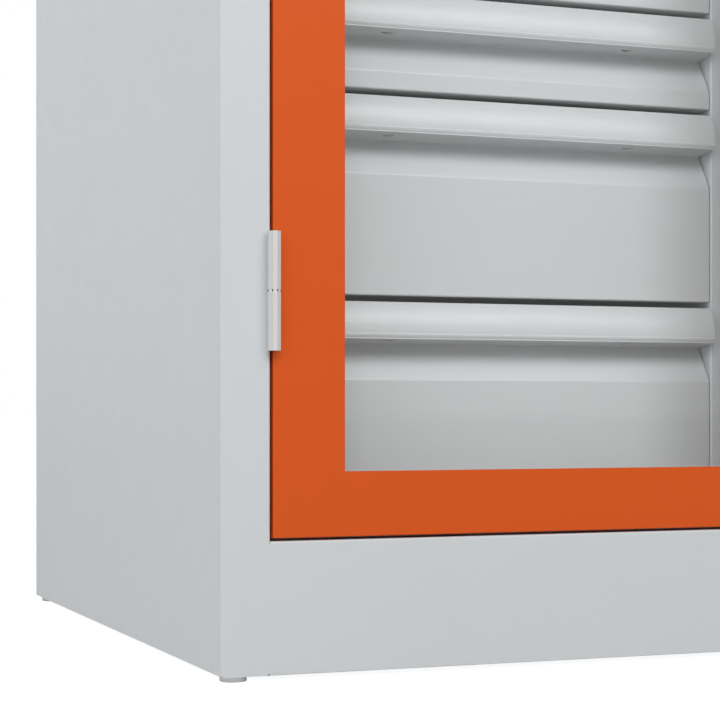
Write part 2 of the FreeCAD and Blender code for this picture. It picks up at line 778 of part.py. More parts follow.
def make_door_skin():
    """Door sheet folded back and in on all four sides, with the window cut out."""
    body = new_body()
    wall = s.door_sheet
    box(body, (door_left, front, door_bottom), (door_right, door_back, door_top))
    low = (door_left + wall, skin_back, door_bottom + wall)
    box(body, low, (door_right - wall, door_back - wall, door_top - wall), cut=True)
    low = (door_left + s.door_lip, door_back - wall, door_bottom + s.door_lip)
    box(body, low, (door_right - s.door_lip, door_back, door_top - s.door_lip), cut=True)
    box(body, (window_left, front, window_bottom), (window_right, skin_back, window_top), cut=True)
    cylinder(body, Y_AXIS, (lock_x, front, lock_z), s.spindle_radius + s.spindle_play, wall, cut=True)
    cylinder(body, Z_AXIS, (lower_rod_x, rod_y, door_bottom), rod_hole, wall, cut=True)
    cylinder(body, Z_AXIS, (upper_rod_x, rod_y, door_top - wall), rod_hole, wall, cut=True)
    face = number_of(front)
    rim = (number_of(door_left), number_of(door_right), number_of(door_bottom), number_of(door_top))

    def on_rim(edge):
        if edge.BoundBox.YLength > 1e-6 or abs(edge.BoundBox.YMin - face) > 1e-6:
            return False
        at = edge.CenterOfMass
        return min(abs(at.x - rim[0]), abs(at.x - rim[1]), abs(at.z - rim[2]), abs(at.z - rim[3])) < 1e-6

    round_edges(body, s.door_round, on_rim)
    node("door_skin", body)


def make_window():
    """Window pane, and the frame that clamps it to the door sheet."""
    pane = new_body()
    lap = s.pane_lap
    pane_back = skin_back + s.pane
    low = (window_left - lap, skin_back, window_bottom - lap)
    high = (window_right + lap, pane_back, window_top + lap)
    box(pane, low, high)
    node("window_pane", pane)

    retainer = new_body()
    rim = s.retainer_width
    retainer_back = pane_back + s.retainer_sheet
    low = (window_left - rim, skin_back, window_bottom - rim)
    box(retainer, low, (window_right + rim, retainer_back, window_top + rim))
    seat = lap + s.pane_play
    low = (window_left - seat, skin_back, window_bottom - seat)
    box(retainer, low, (window_right + seat, pane_back, window_top + seat), cut=True)
    low = (window_left, pane_back, window_bottom)
    box(retainer, low, (window_right, retainer_back, window_top), cut=True)
    node("window_retainer", retainer)

    foot = (rim + seat) / 2
    sides = (window_left - foot, window_right + foot)
    ends = (window_bottom - foot, window_top + foot)
    places = []
    for step in range(RIVETS_UP):
        level = ends[0] + (ends[1] - ends[0]) * ((step + 0.5) / RIVETS_UP)
        places += [(side, level) for side in sides]
    for step in range(RIVETS_ACROSS):
        along = sides[0] + (sides[1] - sides[0]) * ((step + 0.5) / RIVETS_ACROSS)
        places += [(along, end) for end in ends]
    rivets = []
    for place in places:
        rivet = doc.addObject("Part::Cone", "Rivet")
        rivet.Placement = Placement(Vector(), Rotation(Z_AXIS, Y_AXIS))
        bind(rivet, "Radius1", s.rivet_radius)
        bind(rivet, "Radius2", s.rivet_crown)
        bind(rivet, "Height", s.rivet_height)
        for axis, size in zip("xyz", (place[0], retainer_back, place[1])):
            bind(rivet, f"Placement.Base.{axis}", size)
        rivets.append(rivet)
    group("retainer_rivets", rivets)


def make_hinge(name, middle):
    """Weld-on pin hinge: lower knuckle and pin belong to the frame, the upper knuckle to the door."""
    half = s.hinge_length / 2
    seat_back = s.door_gap / 2
    joint = middle + s.washer / 2
    lower = new_body()
    low_end = middle - half
    joint_low = middle - s.washer / 2
    axis_at = (hinge_x, hinge_y)
    cylinder(lower, Z_AXIS, (*axis_at, low_end), s.knuckle_radius, joint_low - low_end)
    low = (hinge_x - seat_back - s.weld_width, front - s.weld_depth, low_end)
    box(lower, low, (hinge_x - seat_back, front, joint_low))
    bore_low = low_end + s.knuckle_cap
    cylinder(lower, Z_AXIS, (*axis_at, bore_low), s.pin_radius, joint_low - bore_low, cut=True)
    node(f"hinge_{name}_frame_knuckle", lower)

    upper = new_body()
    high_end = middle + half
    joint_high = joint + s.washer_gap
    cylinder(upper, Z_AXIS, (*axis_at, joint_high), s.knuckle_radius, high_end - joint_high)
    low = (hinge_x + seat_back, front - s.weld_depth, joint_high)
    box(upper, low, (hinge_x + seat_back + s.weld_width, front, high_end))
    bore = s.pin_radius + s.pin_play
    bore_end = high_end - s.knuckle_cap
    cylinder(upper, Z_AXIS, (*axis_at, joint_high), bore, bore_end - joint_high, cut=True)
    node(f"hinge_{name}_door_knuckle", upper)

    washer = new_body()
    cylinder(washer, Z_AXIS, (*axis_at, joint_low), s.knuckle_radius - s.washer_rim, s.washer)
    cylinder(washer, Z_AXIS, (*axis_at, joint_low), bore, s.washer, cut=True)
    node(f"hinge_{name}_washer", washer)

    pin = new_body()
    pin_length = bore_end - s.pin_end_gap - bore_low
    cylinder(pin, Z_AXIS, (*axis_at, bore_low), s.pin_radius, pin_length)
    node(f"hinge_{name}_pin", pin)


# Lock


def make_lock():
    """Rosette, knob with spindle, lock cylinder, and the plate and cam behind the door sheet."""
    bore = s.spindle_radius + s.spindle_play
    at = (lock_x, lock_z)
    rosette = new_body()
    rosette_front = front - s.rosette_height
    cylinder(rosette, Y_AXIS, (at[0], rosette_front, at[1]), s.rosette_radius, s.rosette_height)
    cylinder(rosette, Y_AXIS, (at[0], rosette_front, at[1]), bore, s.rosette_height, cut=True)
    node("lock_rosette", rosette)

    plate = new_body()
    plate_back = skin_back + s.lock_plate
    half_wide = s.lock_plate_width / 2
    half_high = s.lock_plate_height / 2
    low = (at[0] - half_wide, skin_back, at[1] - half_high)
    box(plate, low, (at[0] + half_wide, plate_back, at[1] + half_high))
    cylinder(plate, Y_AXIS, (at[0], skin_back, at[1]), bore, s.lock_plate, cut=True)
    node("lock_plate", plate)

    cam_front = plate_back + s.cam_gap
    knob = new_body()
    knob_back = rosette_front - s.knob_gap
    disc_front = knob_back - s.knob_base
    boss_front = disc_front - s.boss_height
    cylinder(knob, Y_AXIS, (at[0], disc_front, at[1]), s.knob_radius, s.knob_base)
    half_grip = s.grip_width / 2
    half_bar = s.knob_radius - s.knob_round * 2
    low = (at[0] - half_grip, disc_front - s.grip_height, at[1] - half_bar)
    box(knob, low, (at[0] + half_grip, disc_front, at[1] + half_bar))
    cylinder(knob, Y_AXIS, (at[0], boss_front, at[1]), s.boss_radius, s.boss_height)
    outer = number_of(disc_front) + 1e-6
    round_edges(knob, s.knob_round, lambda edge: edge.isClosed() and edge.BoundBox.YMax < outer)
    cylinder(knob, Y_AXIS, (at[0], knob_back, at[1]), s.spindle_radius, cam_front - knob_back)
    seat = s.cylinder_radius + s.cylinder_play
    seat_depth = s.cylinder_length - s.cylinder_show
    cylinder(knob, Y_AXIS, (at[0], boss_front, at[1]), seat, seat_depth, cut=True)
    node("knob", knob)

    barrel = new_body()
    barrel_front = boss_front - s.cylinder_show
    cylinder(barrel, Y_AXIS, (at[0], barrel_front, at[1]), s.cylinder_radius, s.cylinder_length)
    half_key = s.key_width / 2
    low = (at[0] - half_key, barrel_front, at[1] - s.key_length / 2)
    high = (at[0] + half_key, barrel_front + s.key_depth, at[1] + s.key_length / 2)
    box(barrel, low, high, cut=True)
    node("lock_cylinder", barrel)

    cam = new_body()
    cam_back = cam_front + s.cam_sheet
    cylinder(cam, Y_AXIS, (at[0], cam_front, at[1]), s.cam_radius, s.cam_sheet)
    throw = s.cam_throw * DIAGONAL
    for side in (1, -1):
        pin_at = (at[0] + throw * side, cam_back, at[1] - throw * side)
        cylinder(cam, Y_AXIS, pin_at, s.cam_pin, s.cam_pin_length)
    node("lock_cam", cam)
    return cam_back


def make_rods(cam_back):
    """Two round rods. A slotted plate on each follows one pin of the cam."""
    plate_front = cam_back + s.rod_plate_setback
    throw = s.cam_throw * DIAGONAL
    play = s.cam_pin + s.cam_play
    guides = []
    for name, hand, end in (("upper", 1, door_top - s.rod_inset), ("lower", -1, door_bottom + s.rod_inset)):

        def across(size):
            return lock_x + size * hand

        def along(size):
            return lock_z + size * hand

        def block(body, near, far, cut=False):
            """A block between two corners that are given outwards from the spindle."""
            low = near if hand > 0 else (far[0], near[1], far[2])
            high = far if hand > 0 else (near[0], far[1], near[2])
            box(body, low, high, cut=cut)

        rod = new_body()
        rod_x = across(s.rod_side)
        rod_foot = along(s.rod_start)
        low_end, high_end = (rod_foot, end) if hand > 0 else (end, rod_foot)
        slot_bottom = -throw - play
        plate_side = s.rod_side - s.rod_plate_width / 2
        near = (across(plate_side), plate_front, along(slot_bottom - s.rod_plate_rim))
        plate_end = along(s.rod_start + s.rod_plate)
        far = (across(plate_side + s.rod_plate_width), plate_front + s.rod_plate, plate_end)
        block(rod, near, far)
        near = (across(throw - play), plate_front, along(slot_bottom))
        far = (across(s.cam_throw + play), plate_front + s.rod_plate, along(play - throw))
        block(rod, near, far, cut=True)
        cylinder(rod, Z_AXIS, (rod_x, rod_y, low_end), s.rod_radius, high_end - low_end)
        node(f"rod_{name}", rod)

        guide = new_body()
        guide_back = rod_y + s.rod_radius + s.guide_play + s.guide_cover
        door_end = door_top if hand > 0 else door_bottom
        middle = door_end - s.guide_inset * hand
        half_wide = s.guide_width / 2
        bottom = middle - s.guide_height / 2
        high = (rod_x + half_wide, guide_back, bottom + s.guide_height)
        box(guide, (rod_x - half_wide, skin_back, bottom), high)
        bore = s.rod_radius + s.guide_play
        cylinder(guide, Z_AXIS, (rod_x, rod_y, bottom), bore, s.guide_height, cut=True)
        guides.append(guide)
    group("rod_guides", guides)


# Drawers


def make_drawer_front(name, bottom, rise):
    """Drawer front bent from one sheet: a rounded grip ledge, the recess under it, and a flat panel."""
    top = bottom + rise
    grip_back = grip_front + s.front_depth
    crest = grip_front + s.grip_top
    foremost = top - s.grip_drop
    under = foremost - s.grip_bend
    panel = grip_front + s.panel_setback
    # The ledge is upright at its foremost line, which sets the radius of its arc.
    ledge = (s.grip_top * s.grip_top + s.grip_drop * s.grip_drop) / (s.grip_top * 2)
    points = [
        (grip_back, top),
        (crest, top, ledge, (grip_front, top)),
        (grip_front, foremost, s.grip_bend, (grip_front, under)),
        (grip_front + s.grip_bend, under),
        (grip_front + s.recess_setback, top - s.recess_drop),
        (panel, top - s.crease_drop),
        (panel, bottom),
        (grip_back, bottom),
    ]
    body = new_body()
    half = s.drawer_width / 2
    prism(body, "YZ", points, -half, half)
    panel_y = number_of(panel)
    crease_z = number_of(top - s.crease_drop)

    def at_crease(edge):
        at = edge.CenterOfMass
        return abs(at.y - panel_y) < 1e-6 and abs(at.z - crease_z) < 1e-6 and abs(at.x) < 1e-6

    round_edges(body, s.crease_round, at_crease)
    tip = body.Tip
    plane = number_of(grip_back)
    faces = enumerate(tip.Shape.Faces, 1)
    open_face = [f"Face{index}" for index, face in faces if face.BoundBox.YMin > plane - 1e-6]
    shell = body.newObject("PartDesign::Thickness", "Shell")
    shell.Base = (tip, open_face)
    shell.Join = "Intersection"
    shell.Reversed = True
    bind(shell, "Value", s.drawer_sheet)
    finish_feature(body, shell, True, tip.Shape.Volume)
    for side in (-1, 1):
        foot = (s.grip_hole_side * side, grip_front + s.grip_hole_setback, top - s.recess_drop)
        cylinder(body, Z_AXIS, foot, s.grip_hole, s.recess_drop - s.grip_drop, cut=True)
    node(f"{name}_front", body)


def make_tray(name, bottom, rise):
    """Open tray behind the front. Its front wall closes the back of the hollow front."""
    body = new_body()
    wall = s.drawer_sheet
    floor = bottom + s.tray_lift
    rim = bottom + rise - s.tray_drop
    box(body, (tray_side, slide_front, floor), (-tray_side, slide_rear, rim))
    low = (tray_side + wall, slide_front + wall, floor + wall)
    box(body, low, (-tray_side - wall, slide_rear - wall, rim), cut=True)
    box(body, (tray_side, slide_front, rim), (-tray_side, slide_front + wall, bottom + rise - wall))
    node(f"{name}_tray", body)


def slide_member(face, reach, tall, wall, side, middle, ends):
    """A channel lying along the drawer. face is its web, and reach is how far its flanges stand off."""
    body = new_body()
    tip = face + reach * side
    path = [
        (tip, middle - tall / 2),
        (face, middle - tall / 2),
        (face, middle + tall / 2),
        (tip, middle + tall / 2),
    ]
    prism(body, "XZ", folded(path, wall, s.rail_bend, -side), *ends)
    return body


def make_slides(name, bottom):
    """Slides of one drawer: runners on the tray, cages between, and the fixed rails, which are returned."""
    middle = bottom + s.tray_lift + s.slide_lift
    runner = slide_member(
        tray_side, s.runner_reach, s.runner_height, s.rail_sheet, -1, middle, (slide_front, slide_rear)
    )
    group(f"{name}_runners", [runner, mirrored(runner, X_AXIS)])
    overlap = s.slide_length - s.slide_travel
    cage_front = slide_front + s.slide_travel / 2 + s.cage_margin / 2
    cage_ends = (cage_front, cage_front + overlap - s.cage_margin)
    cage_face = casing_face + s.rail_sheet + s.cage_gap
    cage = slide_member(cage_face, s.cage_reach, s.cage_height, s.cage_sheet, 1, middle, cage_ends)
    group(f"{name}_cages", [cage, mirrored(cage, X_AXIS)])
    rail_ends = (slide_front + s.rail_setback, slide_rear)
    rail = slide_member(casing_face, s.rail_reach, s.rail_height, s.rail_sheet, 1, middle, rail_ends)
    return [rail, mirrored(rail, X_AXIS)]


def make_drawers():
    rails = []
    for number, (bottom, rise) in enumerate(levels, 1):
        name = f"drawer_{number}"
        make_drawer_front(name, bottom, rise)
        make_tray(name, bottom, rise)
        rails += make_slides(name, bottom)
    group("slide_rails", rails)


def check_and_write():
    """Stops at a failed feature or a bad solid, and otherwise writes one file for each sub-part."""
    doc.recompute()
    for thing in doc.Objects:
        if "Invalid" in thing.State or "Error" in thing.State:
            raise RuntimeError(f"{thing.Name} ({thing.Label}) failed: {thing.State}")
    for thing in nodes:
        shape = thing.Shape
        if shape.isNull() or not shape.isValid() or not shape.Solids:
            raise RuntimeError(f"{thing.Label} has no valid solid")
    os.makedirs("parts", exist_ok=True)
    for thing in nodes:
        thing.Shape.exportStep(f"parts/{thing.Label}.step")


make_sides()
make_plinth()
make_top()
make_back()
make_floor()
make_feet()
make_uprights()
make_casings()
make_shelves()
make_keepers()
make_bumpers()
make_door_skin()
make_window()
make_hinge("lower", door_bottom + s.hinge_inset)
make_hinge("upper", door_top - s.hinge_inset)
make_rods(make_lock())
make_drawers()
check_and_write()
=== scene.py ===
import json
import math

import bmesh
import bpy
from mathutils import Matrix, Vector


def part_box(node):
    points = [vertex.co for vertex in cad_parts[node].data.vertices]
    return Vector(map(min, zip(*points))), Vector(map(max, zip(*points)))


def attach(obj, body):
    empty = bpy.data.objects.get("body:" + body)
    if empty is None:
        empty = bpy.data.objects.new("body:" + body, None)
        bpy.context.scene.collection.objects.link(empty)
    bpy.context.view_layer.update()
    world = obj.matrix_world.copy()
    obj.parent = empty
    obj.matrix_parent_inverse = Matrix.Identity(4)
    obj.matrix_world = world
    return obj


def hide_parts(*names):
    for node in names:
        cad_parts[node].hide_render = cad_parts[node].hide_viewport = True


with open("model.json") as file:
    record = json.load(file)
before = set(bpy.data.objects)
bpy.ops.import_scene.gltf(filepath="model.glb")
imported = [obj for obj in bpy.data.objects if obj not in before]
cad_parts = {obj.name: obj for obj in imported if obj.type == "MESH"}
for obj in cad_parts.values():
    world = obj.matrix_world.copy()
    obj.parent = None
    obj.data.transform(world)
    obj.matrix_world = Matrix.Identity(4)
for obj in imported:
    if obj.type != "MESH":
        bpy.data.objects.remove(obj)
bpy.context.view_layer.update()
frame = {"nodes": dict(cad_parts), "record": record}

# All lengths are in metres, and the places come from the frame. A section is drawn along the first
# two directions of its plane, and runs along the third.

X = Vector((1, 0, 0))
Y = Vector((0, 1, 0))
Z = Vector((0, 0, 1))
PLANES = {"XY": (X, Y, Z), "YZ": (Y, Z, X), "XZ": (X, Z, Y)}

# How close counts as touching, how far a cutter stands out, how well an edge follows a direction,
# and the turns, in radians, from which an edge counts as a fold and below which it shades smooth.

NEAR = 2e-5
FAR = 0.01
PARALLEL = 0.999
FOLDED = 0.5
SMOOTH_BELOW = math.radians(32)

# The photograph's camera is level and turned to the right, with the horizon below the middle.

PHOTO_WIDTH = 720
HORIZON_BELOW_MIDDLE = 45.5
TURNED_RIGHT = math.radians(21.15)
LENS_MM = 96.5
SENSOR_MM = 36
EYE = Vector((-0.626, -1.529, 0.1853))
CLIP_NEAR = 0.05
CLIP_FAR = 100

# Sheet work: walls, the outer radii of bends, hems, and the small reliefs at the corners.

WALL = 0.0012
HEAVY_WALL = 0.0015
THIN_WALL = 0.001
BEND = 0.0016
TIGHT_BEND = 0.0006
HEM = 0.015
SHELF_HEM = 0.012
REAR_FLANGE = 0.020
SIDE_LIFT = 0.0008
RELIEF = 0.0006
RELIEF_DEPTH = 0.0008
CORNER_RELIEF = 0.0019
CORNER_RELIEF_HEIGHT = 0.0012
TOP_ROUND = 0.0009

# Broken edges from the finest to the bluntest, and the rounded corners of plates.

HAIR_EDGE = 0.00015
FINE_EDGE = 0.0002
SOFT_EDGE = 0.0003
DULL_EDGE = 0.0004
WELD_EDGE = 0.0005
NUT_EDGE = 0.0006
BLUNT_EDGE = 0.0008
SMALL_CORNER = 0.002
PLATE_CORNER = 0.003
ONLY_RIMS = 80

# The section of a drawer front, counted from its foremost line and its top edge. The lip turns to
# an angle in degrees.

DRAWERS = 4
GRIP_TOP = 0.009
GRIP_DROP = 0.0237
GRIP_BEAD = 0.0005
GRIP_ROUND = 0.0044
LIP_TURN = 237
LIP_STEP = 0.0006
RECESS_SETBACK = 0.026
RECESS_DROP = 0.0301
CREASE_DROP = 0.057
PANEL_SETBACK = 0.010
GRIP_HOLE = 0.0045
GRIP_HOLE_SIDE = 0.099
GRIP_HOLE_SETBACK = 0.0125
GRIP_HOLE_DEPTH = 0.0006
FRONT_END_ROUND = 0.0006
TRAY_DROP = 0.0203
TRAY_FOLD = 0.0015

# Which points of that section are rounded, counted along it, and how far.

FRONT_FOLDS = ((1, 0.0005), (-4, 0.0008), (-3, 0.0006), (-2, 0.0012))

# Slides: the rails, the ball cages, and the line on which their balls run.

RAIL_HEIGHT = 0.036
RAIL_REACH = 0.0112
SLIDE_BEND = 0.0018
CAGE_REACH = 0.0079
BALL = 0.00185
BALL_LINE = 0.0149
BALL_SETBACK = 0.0046
BALLS_IN_ROW = 9

# Door, its hinges, and the frame that holds the pane.

DOOR_GAP = 0.002
DOOR_LIP = 0.012
DOOR_ROUND = 0.0008
PANE_LAP = 0.010
WELD_WIDTH = 0.0026
WELD_DEPTH = 0.0018
KNUCKLE_SIDES = 8
KNUCKLE_TURN = math.radians(14.4)
KNUCKLE_PROUD = 0.00015
KNUCKLE_GROOVE = 0.0005
NOTCH_WIDTH = 0.0009
NOTCH_DEPTH = 0.0014
NOTCH_FLOOR = 0.0041
RETAINER_WIDTH = 0.015
RETAINER_SHEET = 0.0015
RETAINER_SEAT = 0.0103
RIVETS_UP = 4
RIVETS_ACROSS = 3

# Half sections of round pieces: the rivet's by radius and height, the others by their steps in
# from a corner.

RIVET = (
    (0.0022, 0),
    (0.0022, 0.0002),
    (0.002, 0.0005),
    (0.0016, 0.00078),
    (0.0009, 0.00096),
    (0.0003, 0.001),
)
ROSETTE_EDGE = ((0, 0.0015), (0.0004, 0.0006), (0.0015, 0))
FOOT_EDGE = ((0.0007, 0), (0.0002, 0.0002), (0, 0.0006))

# Lock and rods. With the knob at rest, the cam's pins stand off its axis by the same amount
# sideways and upwards.

ROSETTE = 0.017
KNOB = 0.0155
KNOB_GAP = 0.0003
KNOB_BASE = 0.005
KNOB_BOSS = 0.009
KNOB_ROUND = 0.0012
GRIP_WIDE = 0.008
GRIP_OUT = 0.009
GRIP_INSET = 0.0024
GRIP_EDGE = 0.0022
SPINDLE = 0.005
SPINDLE_ROOT = 0.001
SPINDLE_HOLE = 0.00505
CYLINDER = 0.0055
CYLINDER_PLAY = 0.00003
CYLINDER_SEAT = 0.0086
KEY_SLOT = Vector((0.0006, 0.004, 0.00325))
CAM = 0.0145
CAM_SHEET = 0.0025
CAM_PIN = 0.0025
CAM_PIN_ROOT = 0.001
CAM_PIN_PLAY = 0.0006
CAM_THROW = 0.0106
CAM_PIN_OFFSET = CAM_THROW * math.sqrt(0.5)
ROD_RADIUS = 0.004
ROD_HOLE = 0.0046
ROD_START = 0.018
ROD_PLATE = 0.002
GUIDE_HALF_WIDTH = 0.0075
GUIDE_HEIGHT = 0.012
GUIDE_ROUND = 0.0015
GUIDE_PLAY = 0.0001
KEEPER = 0.020
KEEPER_SHEET = 0.003

# Feet and their brackets, and the shelf clips with the slots they hook into.

FOOT = 0.0093
FOOT_DISC = 0.004
COLLAR = 0.006
STEM = 0.004
STEM_PLAY = 0.0001
STEM_POINT = 0.0008
THREAD_PITCH = 0.00125
THREAD_DEPTH = 0.0006
DRIVER_SLOT = 0.0008
DRIVER_SLOT_DEPTH = 0.0025
BRACKET = 0.028
BRACKET_PLATE = 0.003
NUT = 0.0075
NUT_ROOT = 0.0005
CLIP_SHEET = 0.002
CLIP_BEND = 0.0022
CLIP_REACH = 0.016
CLIP_WIDTH = 0.016
HOOK_DROP = 0.0118
HOOK_PLAY = 0.0002
HOOK_ROOT = 0.0005
SLOT = 0.004
SLOT_ROUND = SLOT * 0.45
SLOT_START = 0.034
SLOT_HEIGHT = 0.012
SLOT_PITCH = 0.025

# Light: how strongly the surround lights, how strongly the floor glows near the cabinet and in
# mirrors, and each soft lamp's name, place, aim, size and power.

SURROUND = 0.30
FLOOR_SIZE = 60
NEAR_GLOW = 0.93
NEAR_GLOW_ENDS = 0.8
FULL_GLOW_STARTS = 2.5
MIRRORED_GLOW = 0.4
LAMPS = [
    ("key_lamp", (1.0, -2.7, 2.4), (0.0, -0.3, 0.3), (1.6, 1.6), 27),
    ("front_lamp", (-0.9, -2.9, 2.4), (0.0, -0.3, 0.3), (1.6, 1.6), 43),
    ("left_lamp", (-2.8, 1.3, 1.6), (-0.25, 0.1, 0.4), (1.6, 1.6), 27),
    ("fill_lamp", (-2.4, -2.0, 1.2), (-0.25, 0.0, 0.4), (1.6, 1.6), 12),
]


# Selecting and editing


def only(*pieces):
    """Selects these objects and nothing else. The first becomes the active one."""
    bpy.ops.object.select_all(action="DESELECT")
    for piece in pieces:
        piece.select_set(True)
    bpy.context.view_layer.objects.active = pieces[0]


def start_editing(piece):
    """Opens one piece's mesh for editing."""
    only(piece)
    bpy.ops.object.mode_set(mode="EDIT")


def stop_editing():
    bpy.ops.object.mode_set(mode="OBJECT")


def pick(piece, kind, wanted):
    """In edit mode, selects the faces or edges that wanted accepts, and nothing else."""
    bpy.ops.mesh.select_mode(type="FACE" if kind == "faces" else "EDGE")
    bpy.ops.mesh.select_all(action="DESELECT")
    mesh = bmesh.from_edit_mesh(piece.data)
    for item in getattr(mesh, kind):
        if wanted(item):
            item.select_set(True)
    mesh.select_flush_mode()
    bmesh.update_edit_mesh(piece.data)


def middle_of(edge):
    return (edge.verts[0].co + edge.verts[1].co) / 2


def lies_along(edge, axis):
    """True where an edge runs in a direction or against it."""
    return abs((edge.verts[1].co - edge.verts[0].co).normalized().dot(axis)) > PARALLEL


def is_fold(edge):
    """True where two faces of a sheet meet at an angle."""
    return edge.calc_face_angle(0) > FOLDED


def named(name):
    """The object that an operator has just added or joined, under its own name."""
    piece = bpy.context.object
    piece.name = piece.data.name = name
    return piece


def put_down(piece, matrix):
    """Places a new piece and leaves the place in its mesh."""
    piece.matrix_world = matrix
    only(piece)
    bpy.ops.object.transform_apply(location=True, rotation=True, scale=True)
    return piece


def block(name, low, high):
    """A cube set between two corners, as a start."""
    low, high = Vector(low), Vector(high)
    bpy.ops.object.select_all(action="DESELECT")
    bpy.ops.mesh.primitive_cube_add(size=1, location=(low + high) / 2)
    piece = named(name)
    piece.scale = high - low
    bpy.ops.object.transform_apply(location=True, rotation=False, scale=True)
    return piece


def rod(name, start, end, radius, sides=32, turn=0.0):
    """A cylinder from start to end, as a start. turn turns its sides about its own axis."""
    start, end = Vector(start), Vector(end)
    along = end - start
    bpy.ops.object.select_all(action="DESELECT")
    bpy.ops.mesh.primitive_cylinder_add(vertices=sides, radius=radius, depth=along.length)
    lying = along.to_track_quat("Z", "Y").to_matrix().to_4x4() @ Matrix.Rotation(turn, 4, "Z")
    return put_down(named(name), Matrix.Translation((start + end) / 2) @ lying)


def bevel_edges(piece, wanted, width, segments=3):
    """Rounds the edges that wanted accepts."""
    start_editing(piece)
    pick(piece, "edges", wanted)
    bpy.ops.mesh.bevel(offset=width, segments=segments, affect="EDGES", clamp_overlap=True)
    stop_editing()


def round_corners(piece, axis, width, segments=4):
    """Rounds the edges of a plate that run along an axis."""
    bevel_edges(piece, lambda edge: lies_along(edge, axis), width, segments)


def delete_faces(piece, wanted):
    start_editing(piece)
    pick(piece, "faces", wanted)
    bpy.ops.mesh.delete(type="FACE")
    stop_editing()


def look_away(piece, nearness, inward):
    """Makes all faces agree, with the face that is lowest in nearness looking away from inward."""
    start_editing(piece)
    bpy.ops.mesh.select_all(action="SELECT")
    bpy.ops.mesh.normals_make_consistent(inside=False)
    stop_editing()
    if min(piece.data.polygons, key=nearness).normal.dot(inward) > 0:
        piece.data.flip_normals()


def apply_modifier(piece, kind, **settings):
    """Adds a modifier and works it into the mesh at once."""
    modifier = piece.modifiers.new(kind.title(), kind)
    for name, value in settings.items():
        setattr(modifier, name, value)
    only(piece)
    bpy.ops.object.modifier_apply(modifier=modifier.name)


def soften(piece, width, segments=2, above=50):
    """Takes the sharpness off every edge that turns by more than some degrees."""
    limit = {"limit_method": "ANGLE", "angle_limit": math.radians(above)}
    apply_modifier(piece, "BEVEL", width=width, segments=segments, **limit)


def thicken(piece, wall):
    """Gives an open sheet its wall, on the side that its faces look away from."""
    apply_modifier(piece, "SOLIDIFY", thickness=wall, offset=-1, use_even_offset=True)


def combine(piece, operation, others):
    """Works the others into the piece one by one, and removes them."""
    for other in others:
        apply_modifier(piece, "BOOLEAN", operation=operation, solver="EXACT", object=other)
        bpy.data.objects.remove(other)
    return piece


def cut(piece, *tools):
    """Cuts the tools out of the piece and removes them."""
    return combine(piece, "DIFFERENCE", tools)


def fused(piece, *others):
    """Makes one body of pieces that run into each other."""
    return combine(piece, "UNION", others)


def joined(name, pieces):
    """Makes one object of several pieces, which stay as they are in it."""
    only(*pieces)
    if len(pieces) > 1:
        bpy.ops.object.join()
    return named(name)


def copy_of(piece, name, matrix):
    """A copy with its own mesh, moved by matrix. A mirrored copy is turned right side out."""
    twin = piece.copy()
    twin.data = piece.data.copy()
    twin.data.transform(matrix)
    if matrix.determinant() < 0:
        twin.data.flip_normals()
    bpy.context.scene.collection.objects.link(twin)
    twin.name = twin.data.name = name
    return twin


def other_hand(piece, name):
    """A copy mirrored from left to right."""
    return copy_of(piece, name, Matrix.Scale(-1, 4, X))


def front_to_back(piece, name):
    """A copy mirrored from front to back."""
    return copy_of(piece, name, Matrix.Scale(-1, 4, Y))


def moved(piece, name, by):
    return copy_of(piece, name, Matrix.Translation(by))


def centre(node):
    """The middle of a node's box."""
    low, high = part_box(node)
    return (low + high) / 2


# Folded sheet and turned pieces


def strip(name, path, plane, span, columns=()):
    """An open sheet over the first stretch of a path of (u, v) points.

    span is where it starts and ends across the plane, and columns are cuts between these.
    """
    across, up, along = PLANES[plane]
    first = across * (path[1][0] - path[0][0]) + up * (path[1][1] - path[0][1])
    length = along * (span[1] - span[0])
    corner = across * path[0][0] + up * path[0][1] + along * span[0]
    bpy.ops.object.select_all(action="DESELECT")
    bpy.ops.mesh.primitive_plane_add(size=1)
    lying = Matrix((first, length, first.cross(length).normalized())).transposed().to_4x4()
    place = Matrix.Translation(corner + first / 2 + length / 2)
    piece = put_down(named(name), place @ lying)
    start_editing(piece)
    for column in columns:
        bpy.ops.mesh.select_all(action="SELECT")
        bpy.ops.mesh.bisect(plane_co=along * column, plane_no=along)
    stop_editing()
    return piece


def runs_through(edge, plane, point):
    """True for an edge that stands on the plane at this point."""
    across, up, along = PLANES[plane]
    at = middle_of(edge) - across * point[0] - up * point[1]
    return lies_along(edge, along) and (at - along * at.dot(along)).length < NEAR


def follow(piece, plane, path, within=None):
    """Extrudes the free edge at the path's first point along the rest of the path.

    within keeps this to the edges between two places across the plane.
    """
    across, up, along = PLANES[plane]

    def free_edge(edge):
        if not edge.is_boundary or not runs_through(edge, plane, path[0]):
            return False
        return within is None or within[0] < middle_of(edge).dot(along) < within[1]

    start_editing(piece)
    pick(piece, "edges", free_edge)
    for here, there in zip(path, path[1:]):
        move = across * (there[0] - here[0]) + up * (there[1] - here[1])
        bpy.ops.mesh.extrude_region_move(TRANSFORM_OT_translate={"value": move})
    stop_editing()


def fold_at(piece, plane, point, width, segments=5):
    """Rounds the fold that runs through a point of the path."""
    bevel_edges(piece, lambda edge: runs_through(edge, plane, point), width, segments)


def face_out(piece, plane, path, side):
    """Turns the faces so that the sheet's thickness goes to the given side of the path."""
    across, up, _ = PLANES[plane]
    run = path[1][0] - path[0][0]
    rise = path[1][1] - path[0][1]
    at = ((path[0][0] + path[1][0]) / 2, (path[0][1] + path[1][1]) / 2)

    def distance(face):
        return math.hypot(face.center.dot(across) - at[0], face.center.dot(up) - at[1])

    look_away(piece, distance, (up * run - across * rise) * side)


